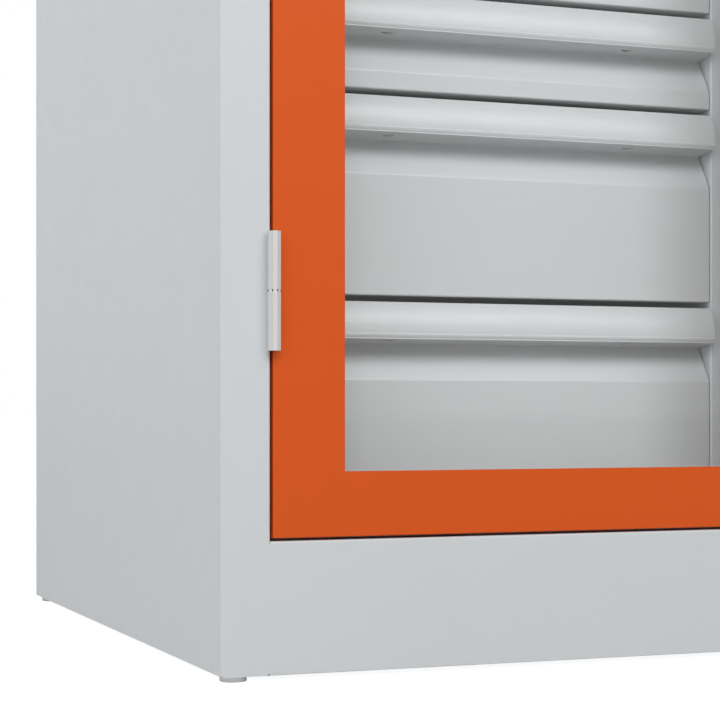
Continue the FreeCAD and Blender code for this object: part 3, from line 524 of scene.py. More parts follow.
def bent_sheet(name, path, plane, span, wall, bend, side, edge=FINE_EDGE):
    """A sheet folded along a square path, as on a press brake, with its edges broken.

    The path is the line of the sheet's outer face. side is 1 where the sheet lies to the left
    of it, else -1.
    """
    piece = strip(name, path, plane, span)
    follow(piece, plane, path[1:])
    for before, point, after in zip(path, path[1:], path[2:]):
        run, rise = point[0] - before[0], point[1] - before[1]
        turn = run * (after[1] - point[1]) - rise * (after[0] - point[0])
        fold_at(piece, plane, point, bend if turn * side > 0 else bend - wall)
    face_out(piece, plane, path, side)
    thicken(piece, wall)
    if edge:
        soften(piece, edge, 1)
    return piece


def turned(name, foot, axis, profile, sides=32):
    """A piece turned on a lathe. Its profile is (radius, distance along the axis from the foot)."""
    bpy.ops.object.select_all(action="DESELECT")
    bpy.ops.mesh.primitive_circle_add(vertices=sides, radius=profile[0][0], fill_type="NGON")
    piece = named(name)
    start_editing(piece)
    bpy.ops.mesh.select_all(action="SELECT")
    for here, there in zip(profile, profile[1:]):
        rise = {"value": (0, 0, there[1] - here[1])}
        bpy.ops.mesh.extrude_region_move(TRANSFORM_OT_translate=rise)
        scale = there[0] / here[0]
        bpy.ops.transform.resize(value=(scale, scale, 1), center_override=(0, 0, there[1]))
    bpy.ops.mesh.select_all(action="SELECT")
    bpy.ops.mesh.normals_make_consistent(inside=False)
    stop_editing()
    lying = Vector(axis).to_track_quat("Z", "Y").to_matrix().to_4x4()
    return put_down(piece, Matrix.Translation(Vector(foot)) @ lying)


def arc(hub, radius, start, end, steps):
    """Points on an arc round a hub, with angles in degrees from the first axis to the second."""
    points = []
    for step in range(steps + 1):
        angle = math.radians(start + (end - start) * step / steps)
        points.append((hub[0] + radius * math.cos(angle), hub[1] + radius * math.sin(angle)))
    return points


def round_rim(radius, height, rounding, steps=5):
    """The rounded corner of a turned piece's profile."""
    return arc((radius - rounding, height - rounding), rounding, 0, 90, steps)


# Finishes. Nearly all of a noise texture's values lie between these two.

NOISE_LOW = 0.3
NOISE_HIGH = 0.7


def linear(red, green, blue):
    """A colour written in bytes, as the linear values that a shader takes."""
    values = []
    for byte in (red, green, blue):
        share = byte / 255
        values.append(share / 12.92 if share <= 0.04045 else ((share + 0.055) / 1.055) ** 2.4)
    return (*values, 1.0)


def shaded(colour, factor):
    """The same colour, darker or lighter by a factor."""
    return (*(min(1.0, value * factor) for value in colour[:3]), 1.0)


def wired(tree, kind, *sockets, operation=None):
    """A new node whose inputs take these sockets in turn."""
    node = tree.nodes.new(kind)
    if operation:
        node.operation = operation
    for socket, place in zip(sockets, node.inputs):
        tree.links.new(socket, place)
    return node


def any_ray(tree, first, *others):
    """A factor that is 1 for rays of these kinds."""
    path = tree.nodes.new("ShaderNodeLightPath").outputs
    factor = path[first]
    for kind in others:
        factor = wired(tree, "ShaderNodeMath", factor, path[kind], operation="MAXIMUM").outputs[0]
    return factor


def rays_that_see(tree):
    """A factor that is 1 for rays from the camera, from a mirror and through the pane."""
    return any_ray(tree, "Is Camera Ray", "Is Glossy Ray", "Is Transmission Ray")


class Finish:
    """A material in the making: its nodes, its shader, and textures on object coordinates."""

    def __init__(self, name, **settings):
        self.material = bpy.data.materials.new(name)
        self.material.use_nodes = True
        self.tree = self.material.node_tree
        self.shader = self.tree.nodes["Principled BSDF"]
        self.bare = self.shader.outputs["BSDF"]
        self.place = self.add("ShaderNodeTexCoord").outputs["Object"]
        self.set(**settings)

    def feed(self, node, inputs):
        """Gives a node's inputs their values, or links them to another node's output."""
        for name, value in inputs.items():
            socket = node.inputs[name.replace("_", " ")]
            if isinstance(value, bpy.types.NodeSocket):
                self.tree.links.new(value, socket)
            else:
                socket.default_value = value
        return node

    def add(self, kind, **inputs):
        return self.feed(self.tree.nodes.new(kind), inputs)

    def set(self, **settings):
        self.feed(self.shader, settings)

    def surface(self, shader):
        self.feed(self.tree.nodes["Material Output"], {"Surface": shader})

    def noise(self, scale, detail=2.0, roughness=0.5, where=None):
        inputs = {"Scale": scale, "Detail": detail, "Roughness": roughness}
        return self.add("ShaderNodeTexNoise", Vector=where or self.place, **inputs).outputs["Fac"]

    def away(self, point):
        """The distance from a point."""
        length = wired(self.tree, "ShaderNodeVectorMath", point, operation="LENGTH")
        return length.outputs["Value"]

    def ramp(self, factor, low, high, start=NOISE_LOW, end=NOISE_HIGH):
        """A number that goes from low to high as factor goes from start to end."""
        ends = {"From Min": start, "From Max": end, "To Min": low, "To Max": high}
        return self.add("ShaderNodeMapRange", Value=factor, **ends).outputs["Result"]

    def between(self, factor, first, second):
        """A colour that goes from the first to the second over the span of a noise."""
        node = self.add("ShaderNodeValToRGB", Fac=factor)
        low, high = node.color_ramp.elements
        low.position, high.position = NOISE_LOW, NOISE_HIGH
        low.color, high.color = first, second
        return node.outputs["Color"]

    def bump(self, height, strength, distance, **over):
        node = self.add("ShaderNodeBump", Height=height, Strength=strength, Distance=distance)
        self.feed(node, over)
        self.set(Normal=node.outputs["Normal"])
        return node.outputs["Normal"]


def powder_coat(name, colour, gloss, peel, shine=0.3, uneven=0.05):
    """Baked powder coat: a fine orange peel, a faint mottle, and a slightly uneven sheen."""
    finish = Finish(name, Specular_IOR_Level=shine)
    mottle = finish.noise(scale=7.0, detail=4.0)
    patchy = finish.noise(scale=55.0, detail=3.0)
    finish.set(
        Base_Color=finish.between(mottle, shaded(colour, 0.993), shaded(colour, 1.007)),
        Roughness=finish.ramp(patchy, gloss - uneven, gloss + uneven),
    )
    coarse = finish.bump(finish.noise(scale=420.0), strength=peel, distance=0.00012)
    fine = finish.noise(scale=2600.0, detail=1.0)
    finish.bump(fine, strength=peel * 0.6, distance=0.00004, Normal=coarse)
    return finish.material


def zinc_plate(name, colour, gloss, grain):
    """Zinc on rolled steel: a grain along the piece and soft cloudy patches."""
    finish = Finish(name, Metallic=1.0)
    cloud = finish.noise(scale=90.0, detail=5.0, roughness=0.6)
    stretched = finish.add("ShaderNodeMapping", Vector=finish.place, Scale=grain)
    where = stretched.outputs["Vector"]
    lines = finish.noise(scale=900.0, detail=3.0, roughness=0.6, where=where)
    finish.set(
        Base_Color=finish.between(cloud, shaded(colour, 0.86), shaded(colour, 1.1)),
        Roughness=finish.ramp(lines, gloss - 0.08, gloss + 0.12),
    )
    finish.bump(lines, strength=0.25, distance=0.00003)
    return finish.material


def moulded_plastic(name, colour):
    """Matt black polyamide with its fine spark-eroded grain."""
    finish = Finish(name)
    grain = finish.noise(scale=3200.0, detail=2.0, roughness=0.7)
    cloud = finish.noise(scale=60.0, detail=3.0)
    finish.set(
        Base_Color=finish.between(cloud, shaded(colour, 0.85), shaded(colour, 1.3)),
        Roughness=finish.ramp(grain, low=0.42, high=0.62),
    )
    finish.bump(grain, strength=0.3, distance=0.00004)
    return finish.material


def soft_rubber(name, colour):
    """Black rubber with a grey bloom."""
    finish = Finish(name)
    dust = finish.noise(scale=240.0, detail=4.0, roughness=0.7)
    finish.set(
        Base_Color=finish.between(dust, colour, shaded(colour, 2.2)),
        Roughness=finish.ramp(dust, low=0.7, high=0.92),
    )
    finish.bump(dust, strength=0.2, distance=0.00006)
    return finish.material


def notched_steel(name, colour, axis):
    """Bright washer with painted shade in its notches, nearer to its axis than their floor."""
    finish = Finish(name, Metallic=1.0)
    level = {"Location": (-axis.x, -axis.y, 0), "Scale": (1, 1, 0)}
    around = finish.add("ShaderNodeMapping", Vector=finish.place, **level).outputs["Vector"]
    distance = finish.away(around)
    # Painted shade: the steel turns near black wherever it lies nearer to the axis than the
    # notches' floor.
    beyond_notch_shade = finish.ramp(distance, NOISE_LOW, NOISE_HIGH, NOTCH_FLOOR - 0.0001, NOTCH_FLOOR)
    finish.set(
        Base_Color=finish.between(beyond_notch_shade, shaded(colour, 0.02), colour),
        Roughness=finish.ramp(finish.noise(scale=900.0, detail=3.0), low=0.2, high=0.3),
    )
    return finish.material


def polished_chrome(name, colour):
    """Chrome with the faint smears of handling."""
    finish = Finish(name, Metallic=1.0)
    smear = finish.noise(scale=500.0, detail=3.0, roughness=0.6)
    finish.set(
        Base_Color=finish.between(smear, shaded(colour, 0.94), colour),
        Roughness=finish.ramp(smear, low=0.06, high=0.16),
    )
    finish.bump(smear, strength=0.08, distance=0.00002)
    return finish.material


def clear_sheet(name, colour):
    """Clear plastic with the faintest haze, which lets light pass straight to what lies behind."""
    settings = {"Transmission_Weight": 1.0, "IOR": 1.33, "Specular_IOR_Level": 0.1}
    finish = Finish(name, Base_Color=colour, **settings)
    finish.set(Roughness=finish.ramp(finish.noise(scale=30.0, detail=3.0), low=0.0, high=0.02))
    passing = any_ray(finish.tree, "Is Shadow Ray", "Is Diffuse Ray")
    gone = finish.add("ShaderNodeBsdfTransparent", Color=colour).outputs["BSDF"]
    mix = wired(finish.tree, "ShaderNodeMixShader", passing, finish.bare, gone)
    finish.surface(mix.outputs["Shader"])
    return finish.material


STEEL = linear(222, 222, 224)
FINISHES = {
    "carcass_paint": powder_coat("carcass_paint", linear(214, 218, 220), 0.42, 0.06),
    "drawer_paint": powder_coat("drawer_paint", linear(208, 211, 212), 0.3, 0.02, 0.55, 0.01),
    "door_paint": powder_coat("door_paint", linear(219, 86, 13), 0.40, 0.06),
    "hinge_paint": powder_coat("hinge_paint", linear(221, 221, 220), 0.34, 0.03),
    "clear_pane": clear_sheet("clear_pane", (0.995, 1.0, 1.0, 1.0)),
    "zinc": zinc_plate("zinc", linear(192, 194, 196), 0.34, (1.0, 0.04, 1.0)),
    "bright_steel": zinc_plate("bright_steel", STEEL, 0.2, (1.0, 1.0, 0.2)),
    "chrome": polished_chrome("chrome", linear(230, 231, 233)),
    "black_plastic": moulded_plastic("black_plastic", linear(24, 24, 26)),
    "rubber": soft_rubber("rubber", linear(22, 22, 22)),
}
WASHER_FINISH = notched_steel("washer_steel", STEEL, centre("hinge_lower_washer"))


def finished(piece, body, slot, *nodes):
    """Gives a piece its finish and its body, and lets it stand for its solids."""
    only(piece)
    bpy.ops.object.shade_smooth_by_angle(angle=SMOOTH_BELOW)
    apply_modifier(piece, "WEIGHTED_NORMAL", keep_sharp=True)
    piece.data.materials.clear()
    piece.data.materials.append(FINISHES[slot])
    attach(piece, body)
    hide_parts(*nodes)


def finish_pair(left, slot, node):
    """Finishes a piece of the cabinet's left side and its mirrored twin on the right."""
    right = other_hand(left, left.name.replace("left", "right"))
    finished(left, "cabinet", slot, f"{node}_left")
    finished(right, "cabinet", slot, f"{node}_right")


def finish_slides(first, name, body, part):
    """Finishes the lowest drawer's slide members and their copies at the other drawers."""
    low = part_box(f"drawer_1_{part}")[0]
    for number in range(2, DRAWERS + 1):
        twin = moved(first, f"{name}_{number}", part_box(f"drawer_{number}_{part}")[0] - low)
        finished(twin, f"{body}_{number}", "zinc", f"drawer_{number}_{part}")
    finished(first, f"{body}_1", "zinc", f"drawer_1_{part}")


def finish_solids():
    """The CAD nodes that stay get the finish of their slot."""
    for row in frame["record"]["subparts"]:
        solid = frame["nodes"][row["node"]]
        solid.data.materials.clear()
        solid.data.materials.append(FINISHES[row["material_slot"]])


# Places that several pieces share

side_low, side_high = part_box("side_left")
plinth_low, plinth_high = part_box("plinth")
top_low, top_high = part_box("top_panel")
door_low, door_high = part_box("door_skin")
pane_low, pane_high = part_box("window_pane")

LEFT = side_low.x
FRONT = side_low.y
REAR = side_high.y
BASE = side_low.z
LIP_END = side_high.x
OPENING_LEFT = plinth_low.x
OPENING_BOTTOM = door_low.z - DOOR_GAP
OPENING_TOP = door_high.z + DOOR_GAP
STOP = plinth_high.y - WALL
FLOOR_TOP = plinth_high.z
WINDOW_LEFT = pane_low.x + PANE_LAP
WINDOW_BOTTOM = pane_low.z + PANE_LAP
WINDOW_TOP = pane_high.z - PANE_LAP
WINDOW = (WINDOW_LEFT, WINDOW_BOTTOM, -WINDOW_LEFT, WINDOW_TOP)
UPPER_ROD_X = centre("rod_upper").x
LOWER_ROD_X = centre("rod_lower").x
ROD_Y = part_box("rod_upper")[1].y - ROD_RADIUS
LOCK = centre("lock_plate")


def rod_hole(x, low, high, radius=ROD_HOLE):
    """Cutter for the hole that a locking rod passes through."""
    return rod("hole", (x, ROD_Y, low), (x, ROD_Y, high), radius)


def spindle_hole(start, end):
    """Cutter for the hole that the lock's spindle passes through."""
    return rod("hole", (LOCK.x, start, LOCK.z), (LOCK.x, end, LOCK.z), SPINDLE_HOLE)


# Carcass


def make_sides():
    """Side panel, front stile and stop lip from one sheet, with a flange for the back panel."""
    path = [
        (LIP_END, STOP),
        (OPENING_LEFT, STOP),
        (OPENING_LEFT, FRONT),
        (LEFT, FRONT),
        (LEFT, REAR),
        (LEFT + REAR_FLANGE, REAR),
    ]
    ends = (BASE, side_high.z)
    piece = bent_sheet("side_sheet_left", path, "XY", ends, WALL, BEND, -1, edge=None)
    low = (LEFT - FAR, FRONT + BEND, BASE - FAR)
    notch = block("notch", low, (LEFT + REAR_FLANGE + FAR, REAR + FAR, BASE + SIDE_LIFT))
    high = (LEFT + CORNER_RELIEF, FRONT + CORNER_RELIEF, BASE + CORNER_RELIEF_HEIGHT)
    corner = block("corner", (LEFT - FAR, FRONT - FAR, BASE - FAR), high)
    cut(piece, notch, corner, relief_tool(1))
    finish_pair(piece, "carcass_paint", "side")


def relief_tool(hand):
    """Cutter for the small mark at the foot of the weld between stile and plinth."""
    at = Vector(((OPENING_LEFT - DOOR_GAP / 2) * hand, FRONT, BASE + RELIEF))
    return rod("relief", at - Y * FAR, at + Y * RELIEF_DEPTH, RELIEF, 16)


def ground_welds(low, high):
    """The welds between stiles and rail are ground flush, so that no seam shows there."""
    corner = (OPENING_LEFT, FRONT + BEND, high)
    left = block("weld", (OPENING_LEFT - BEND, FRONT, low), corner)
    return left, other_hand(left, "weld")


def make_plinth():
    """Plinth with its hem and threshold, which turns up into a lip between the stiles' lips."""
    path = [
        (FRONT + HEM, BASE),
        (FRONT, BASE),
        (FRONT, OPENING_BOTTOM),
        (STOP, OPENING_BOTTOM),
        (STOP, FLOOR_TOP),
    ]
    between_lips = (LIP_END, -LIP_END)
    piece = strip("plinth_sheet", path, "YZ", (OPENING_LEFT, -OPENING_LEFT), between_lips)
    follow(piece, "YZ", path[1:4])
    follow(piece, "YZ", path[3:], between_lips)
    fold_at(piece, "YZ", path[1], TIGHT_BEND)
    fold_at(piece, "YZ", path[2], BEND)
    face_out(piece, "YZ", path, -1)
    thicken(piece, WALL)
    piece = joined("plinth_sheet", [piece, *ground_welds(BASE, OPENING_BOTTOM - BEND)])
    hole = rod_hole(LOWER_ROD_X, OPENING_BOTTOM - FAR, OPENING_BOTTOM + FAR)
    cut(piece, hole, relief_tool(1), relief_tool(-1))
    finished(piece, "cabinet", "carcass_paint", "plinth")


def make_top():
    """Top plate over the side panels, header, and the stop lip behind the door's upper edge."""
    path = [
        (REAR, top_high.z),
        (FRONT, top_high.z),
        (FRONT, OPENING_TOP),
        (STOP, OPENING_TOP),
        (STOP, top_low.z),
    ]
    columns = (OPENING_LEFT, LIP_END, -LIP_END, -OPENING_LEFT)
    piece = strip("top_sheet", path, "YZ", (LEFT, -LEFT), columns)
    follow(piece, "YZ", path[1:4], (OPENING_LEFT, -OPENING_LEFT))
    follow(piece, "YZ", path[3:], (LIP_END, -LIP_END))
    fold_at(piece, "YZ", path[2], BEND)
    face_out(piece, "YZ", path, 1)
    thicken(piece, WALL)

    def around_top(edge):
        if min(vert.co.z for vert in edge.verts) < top_high.z - NEAR:
            return False
        at = middle_of(edge)
        return abs(abs(at.x) + LEFT) < NEAR or at.y < FRONT + NEAR or at.y > REAR - NEAR

    bevel_edges(piece, around_top, TOP_ROUND)
    piece = joined("top_sheet", [piece, *ground_welds(OPENING_TOP + BEND, top_low.z)])
    cut(piece, rod_hole(UPPER_ROD_X, OPENING_TOP - FAR / 2, OPENING_TOP + FAR / 2))
    finished(piece, "cabinet", "carcass_paint", "top_panel")


def make_floor():
    """Floor panel folded down at both sides."""
    low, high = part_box("floor_panel")
    path = [(low.x, low.z), (low.x, high.z), (high.x, high.z), (high.x, low.z)]
    piece = bent_sheet("floor_sheet", path, "XZ", (low.y, high.y), WALL, BEND, -1)
    finished(piece, "cabinet", "carcass_paint", "floor_panel")


# Drawers


def front_section(low, high):
    """The outer line of a drawer front's section, from its top edge round to its lower edge."""
    ledge = (GRIP_TOP**2 + GRIP_DROP**2) / (GRIP_TOP * 2)
    foremost = high.z - GRIP_DROP
    start = 180 - math.degrees(math.asin((GRIP_DROP - GRIP_BEAD) / ledge))
    lip = arc((low.y + GRIP_ROUND, foremost), GRIP_ROUND, 180, LIP_TURN, steps=6)
    return [
        (high.y, high.z),
        *arc((low.y + GRIP_BEAD + ledge, foremost + GRIP_BEAD), ledge, start, 180, steps=10),
        *lip,
        (lip[-1][0], lip[-1][1] + LIP_STEP),
        (low.y + RECESS_SETBACK, high.z - RECESS_DROP),
        (low.y + PANEL_SETBACK, high.z - CREASE_DROP),
        (low.y + PANEL_SETBACK, low.z),
        (high.y, low.z),
    ]


def make_front(name):
    """Drawer front from one sheet: a rounded grip ledge, the recess under it, and a flat panel."""
    low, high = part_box(f"{name}_front")
    path = front_section(low, high)
    piece = strip(f"{name}_front_sheet", path, "YZ", (low.x, high.x))
    follow(piece, "YZ", path[1:])
    for index, width in FRONT_FOLDS:
        fold_at(piece, "YZ", path[index], width, 4)
    for end in (low.x, high.x):
        start_editing(piece)
        pick(piece, "edges", lambda edge: all(abs(vert.co.x - end) < NEAR for vert in edge.verts))
        bpy.ops.mesh.edge_face_add()
        stop_editing()

    def on_end(edge):
        inside = [min(vert.co.x - low.x, high.x - vert.co.x) for vert in edge.verts]
        return max(inside) < NEAR and not edge.is_boundary

    bevel_edges(piece, on_end, FRONT_END_ROUND)
    face_out(piece, "YZ", path, 1)
    thicken(piece, THIN_WALL)
    start, end = path[-5:-3]
    y = low.y + GRIP_HOLE_SETBACK
    level = start[1] + (end[1] - start[1]) * (y - start[0]) / (end[0] - start[0])
    for side in (-1, 1):
        top = Vector((GRIP_HOLE_SIDE * side, y, level + GRIP_HOLE_DEPTH))
        cut(piece, rod("hole", top - Z * FAR / 2, top, GRIP_HOLE))
    finished(piece, name, "drawer_paint", f"{name}_front")


def make_tray(name):
    """Pressed tray. Its front wall stands up behind the hollow front."""
    low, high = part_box(f"{name}_tray")
    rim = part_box(f"{name}_front")[1].z - TRAY_DROP
    piece = block(f"{name}_tray_sheet", low, (high.x, high.y, rim))
    delete_faces(piece, lambda face: face.normal.z > PARALLEL)
    start_editing(piece)
    pick(piece, "edges", lambda edge: edge.is_boundary and middle_of(edge).y < low.y + NEAR)
    bpy.ops.mesh.extrude_region_move(TRANSFORM_OT_translate={"value": (0, 0, high.z - rim)})
    stop_editing()
    bevel_edges(piece, is_fold, TRAY_FOLD, 4)
    look_away(piece, lambda face: face.center.z, Z)
    thicken(piece, THIN_WALL)
    soften(piece, SOFT_EDGE, above=ONLY_RIMS)
    finished(piece, name, "drawer_paint", f"{name}_tray")


def make_cages():
    """Ball cages of the lowest drawer's slides, and copies for the other drawers."""
    low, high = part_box("drawer_1_cages")
    tip = low.x + CAGE_REACH
    path = [(tip, low.z), (low.x, low.z), (low.x, high.z), (tip, high.z)]
    cage = bent_sheet("channel", path, "XZ", (low.y, high.y), THIN_WALL, SLIDE_BEND, -1)
    middle = (low.z + high.z) / 2
    pieces = [cage]
    for level in (middle - BALL_LINE, middle + BALL_LINE):
        for step in range(BALLS_IN_ROW):
            y = low.y + (high.y - low.y) * (step + 0.5) / BALLS_IN_ROW
            place = (low.x + BALL_SETBACK, y, level)
            sphere = {"segments": 12, "ring_count": 8, "radius": BALL, "location": place}
            bpy.ops.object.select_all(action="DESELECT")
            bpy.ops.mesh.primitive_uv_sphere_add(**sphere)
            pieces.append(put_down(named("ball"), bpy.context.object.matrix_world.copy()))
    left = joined("cages_1", pieces)
    first = joined("ball_cages_1", [left, other_hand(left, "right")])
    finish_slides(first, "ball_cages", "cages", "cages")


# Door


def framed(name, low, high, level, inner):
    """A flat ring in the door's plane. inner is its opening's left, bottom, right and top."""
    bpy.ops.object.select_all(action="DESELECT")
    bpy.ops.mesh.primitive_plane_add(size=1)
    matrix = Matrix.Translation(((low.x + high.x) / 2, level, (low.z + high.z) / 2))
    matrix = matrix @ Matrix.Rotation(math.radians(90), 4, "X")
    matrix = matrix @ Matrix.Diagonal((high.x - low.x, high.z - low.z, 1, 1))
    piece = put_down(named(name), matrix)
    left, bottom, right, top = inner
    start_editing(piece)
    for place, normal in ((X * left, X), (X * right, X), (Z * bottom, Z), (Z * top, Z)):
        bpy.ops.mesh.select_all(action="SELECT")
        bpy.ops.mesh.bisect(plane_co=place, plane_no=normal)
    stop_editing()

    def in_opening(face):
        at = face.calc_center_median()
        return left < at.x < right and bottom < at.z < top

    delete_faces(piece, in_opening)
    return piece


def make_door_skin():
    """Door sheet with its window, folded back and in on all four sides."""
    piece = framed("door_sheet", door_low, door_high, FRONT, WINDOW)
    size = door_high - door_low

    def around_rim(edge):
        at = middle_of(edge)
        sideways = min(at.x - door_low.x, door_high.x - at.x)
        upright = min(at.z - door_low.z, door_high.z - at.z)
        return edge.is_boundary and min(sideways, upright) < NEAR

    start_editing(piece)
    pick(piece, "edges", around_rim)
    bpy.ops.mesh.extrude_region_move(TRANSFORM_OT_translate={"value": (0, size.y, 0)})
    bpy.ops.mesh.extrude_region_move(TRANSFORM_OT_translate={"value": (0, 0, 0)})
    inwards = (1 - DOOR_LIP * 2 / size.x, 1, 1 - DOOR_LIP * 2 / size.z)
    bpy.ops.transform.resize(value=inwards, center_override=centre("door_skin"))
    stop_editing()
    bevel_edges(piece, is_fold, DOOR_ROUND, 4)
    look_away(piece, lambda face: face.center.y, Y)
    thicken(piece, THIN_WALL)
    cut(
        piece,
        spindle_hole(FRONT - FAR, FRONT + FAR),
        rod_hole(LOWER_ROD_X, door_low.z - FAR, door_low.z + FAR),
        rod_hole(UPPER_ROD_X, door_high.z - FAR, door_high.z + FAR),
    )
    soften(piece, HAIR_EDGE, 1)
    finished(piece, "door", "door_paint", "door_skin")


def make_pane():
    """Clear pane with flame-polished edges."""
    piece = block("clear_sheet", pane_low, pane_high)
    soften(piece, DULL_EDGE, 3)
    finished(piece, "door", "clear_pane", "window_pane")


# Hinges


def corner_grooves(axis, radius, width, depth, low, high):
    """Cutters for a groove along each of a knuckle's corners."""
    tools = []
    for corner in range(KNUCKLE_SIDES):
        start = (-width / 2, -radius - FAR, low - FAR)
        tool = block("groove", start, (width / 2, -radius + depth, high + FAR))
        turn = KNUCKLE_TURN + math.tau * corner / KNUCKLE_SIDES
        place = Matrix.Translation((axis.x, axis.y, 0)) @ Matrix.Rotation(turn, 4, "Z")
        tools.append(put_down(tool, place))
    return joined("grooves", tools)


def knuckle(name, axis, radius, low, high):
    """An eight-sided bar on the hinge's axis."""
    foot, head = (axis.x, axis.y, low), (axis.x, axis.y, high)
    return rod(name, foot, head, radius, KNUCKLE_SIDES, KNUCKLE_TURN)


def make_hinge(name):
    """Weld-on hinge with eight-sided knuckles and a notched washer between them."""
    bottom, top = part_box(f"hinge_{name}_washer")
    axis = (bottom + top) / 2
    radius = (top.x - bottom.x) / 2
    proud = radius + KNUCKLE_PROUD

    def on_end(edge):
        return abs(edge.verts[0].co.z - edge.verts[1].co.z) < NEAR and is_fold(edge)

    for part, body, side in (("frame", "cabinet", -1), ("door", "door", 1)):
        node = f"hinge_{name}_{part}_knuckle"
        low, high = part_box(node)
        barrel = knuckle("knuckle", axis, proud, low.z, high.z)
        cut(barrel, corner_grooves(axis, proud, KNUCKLE_GROOVE, KNUCKLE_GROOVE, low.z, high.z))
        bevel_edges(barrel, on_end, FINE_EDGE, 2)
        start = axis.x + DOOR_GAP / 2 * side
        left, right = sorted((start, start + WELD_WIDTH * side))
        weld = block("weld", (left, FRONT - WELD_DEPTH, low.z), (right, FRONT, high.z))
        soften(weld, WELD_EDGE)
        finished(joined(f"{name}_{part}_barrel", [barrel, weld]), body, "hinge_paint", node)
    ring = knuckle(f"{name}_ring", axis, radius, bottom.z, top.z)
    cut(ring, corner_grooves(axis, radius, NOTCH_WIDTH, NOTCH_DEPTH, bottom.z, top.z))
    finished(ring, "cabinet", "bright_steel", f"hinge_{name}_washer")
    ring.data.materials[0] = WASHER_FINISH


# Window frame


def make_retainer():
    """Frame that clamps the pane: a flat ring over its edge, and a spacer ring around it."""
    low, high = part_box("window_retainer")
    back = high.y - RETAINER_SHEET
    cover = framed("cover", low, high, back, WINDOW)
    thicken(cover, RETAINER_SHEET)
    left, bottom = WINDOW_LEFT - RETAINER_SEAT, WINDOW_BOTTOM - RETAINER_SEAT
    seat = (left, bottom, -left, WINDOW_TOP + RETAINER_SEAT)
    spacer = framed("spacer", low, high, low.y, seat)
    thicken(spacer, back - low.y)
    soften(cover, DULL_EDGE)
    finished(joined("pane_frame", [cover, spacer]), "door", "drawer_paint", "window_retainer")


def make_rivets():
    """Domed rivets around the pane's frame."""
    low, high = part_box("window_retainer")
    inset = (RETAINER_WIDTH - RETAINER_SEAT) / 2
    left, right = low.x + inset, high.x - inset
    bottom, top = low.z + inset, high.z - inset
    places = []
    for step in range(RIVETS_UP):
        level = bottom + (top - bottom) * (step + 0.5) / RIVETS_UP
        places += [(left, level), (right, level)]
    for step in range(RIVETS_ACROSS):
        along = left + (right - left) * (step + 0.5) / RIVETS_ACROSS
        places += [(along, bottom), (along, top)]
    x, z = places[0]
    first = turned("rivet", (x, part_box("retainer_rivets")[0].y, z), Y, RIVET, 20)
    rivets = [first]
    for place in places[1:]:
        rivets.append(moved(first, "rivet", (place[0] - x, 0, place[1] - z)))
    finished(joined("rivets", rivets), "door", "zinc", "retainer_rivets")


# Lock


def make_rosette():
    """Round rosette under the knob."""
    low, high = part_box("lock_rosette")
    deep = high.y - low.y
    edge = [(ROSETTE - inwards, deep - down) for inwards, down in ROSETTE_EDGE]
    foot = (LOCK.x, FRONT, LOCK.z)
    rosette = turned("rosette", foot, -Y, [(ROSETTE, 0), *edge], 64)
    cut(rosette, spindle_hole(FRONT + FAR, FRONT - FAR))
    finished(rosette, "door", "black_plastic", "lock_rosette")


def make_knob():
    """Knob with its grip and spindle, and a seat for the lock cylinder."""
    low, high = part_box("knob")
    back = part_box("lock_rosette")[0].y - KNOB_GAP
    face = back - KNOB_BASE
    foot = Vector((LOCK.x, back, LOCK.z))
    start = [(KNOB - DULL_EDGE, 0), (KNOB, DULL_EDGE)]
    rim = round_rim(KNOB, KNOB_BASE, KNOB_ROUND)
    knob = turned("turn_knob", foot, -Y, start + rim, 64)
    reach = Vector((GRIP_WIDE / 2, 0, KNOB - GRIP_INSET))
    middle = Vector((LOCK.x, face, LOCK.z))
    grip = block("grip", middle - reach - Y * GRIP_OUT, middle + reach)
    outside = face - NEAR
    bevel_edges(grip, lambda edge: max(vert.co.y for vert in edge.verts) < outside, GRIP_EDGE, 4)
    rim = round_rim(KNOB_BOSS, back - low.y, KNOB_ROUND)
    boss = turned("boss", foot, -Y, [(KNOB_BOSS, KNOB_BASE / 2), *rim], 48)
    root = (LOCK.x, face + SPINDLE_ROOT, LOCK.z)
    spindle = rod("spindle", root, (LOCK.x, high.y, LOCK.z), SPINDLE)
    fused(knob, grip, boss, spindle)
    seat = Vector((LOCK.x, low.y, LOCK.z))
    deep = seat + Y * CYLINDER_SEAT
    cut(knob, rod("seat", seat - Y * FAR, deep, CYLINDER + CYLINDER_PLAY))
    finished(knob, "knob", "black_plastic", "knob")


def make_cylinder():
    """Lock cylinder with its key slot."""
    low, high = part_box("lock_cylinder")
    face = Vector((LOCK.x, low.y, LOCK.z))
    barrel = rod("key_cylinder", face, (LOCK.x, high.y, LOCK.z), CYLINDER, 48)
    soften(barrel, DULL_EDGE)
    outside = face - Vector((KEY_SLOT.x, FAR, KEY_SLOT.z))
    cut(barrel, block("key", outside, face + KEY_SLOT))
    finished(barrel, "knob", "chrome", "lock_cylinder")


def make_lock_plate():
    """Plate that spreads the lock's pull behind the door sheet."""
    low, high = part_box("lock_plate")
    piece = block("backing_plate", low, high)
    round_corners(piece, Y, PLATE_CORNER)
    cut(piece, spindle_hole(low.y - FAR, high.y + FAR))
    soften(piece, FINE_EDGE, 1)
    finished(piece, "door", "zinc", "lock_plate")


def make_cam():
    """Disc on the spindle with two pins that push the rods."""
    low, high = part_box("lock_cam")
    back = low.y + CAM_SHEET
    piece = rod("cam", (LOCK.x, low.y, LOCK.z), (LOCK.x, back, LOCK.z), CAM, 56)
    soften(piece, SOFT_EDGE)
    for side in (CAM_PIN_OFFSET, -CAM_PIN_OFFSET):
        foot = Vector((LOCK.x + side, back - CAM_PIN_ROOT, LOCK.z - side))
        length = high.y - foot.y
        profile = [(CAM_PIN, 0), (CAM_PIN, length - DULL_EDGE), (CAM_PIN - DULL_EDGE, length)]
        fused(piece, turned("pin", foot, Y, profile, 24))
    finished(piece, "knob", "zinc", "lock_cam")


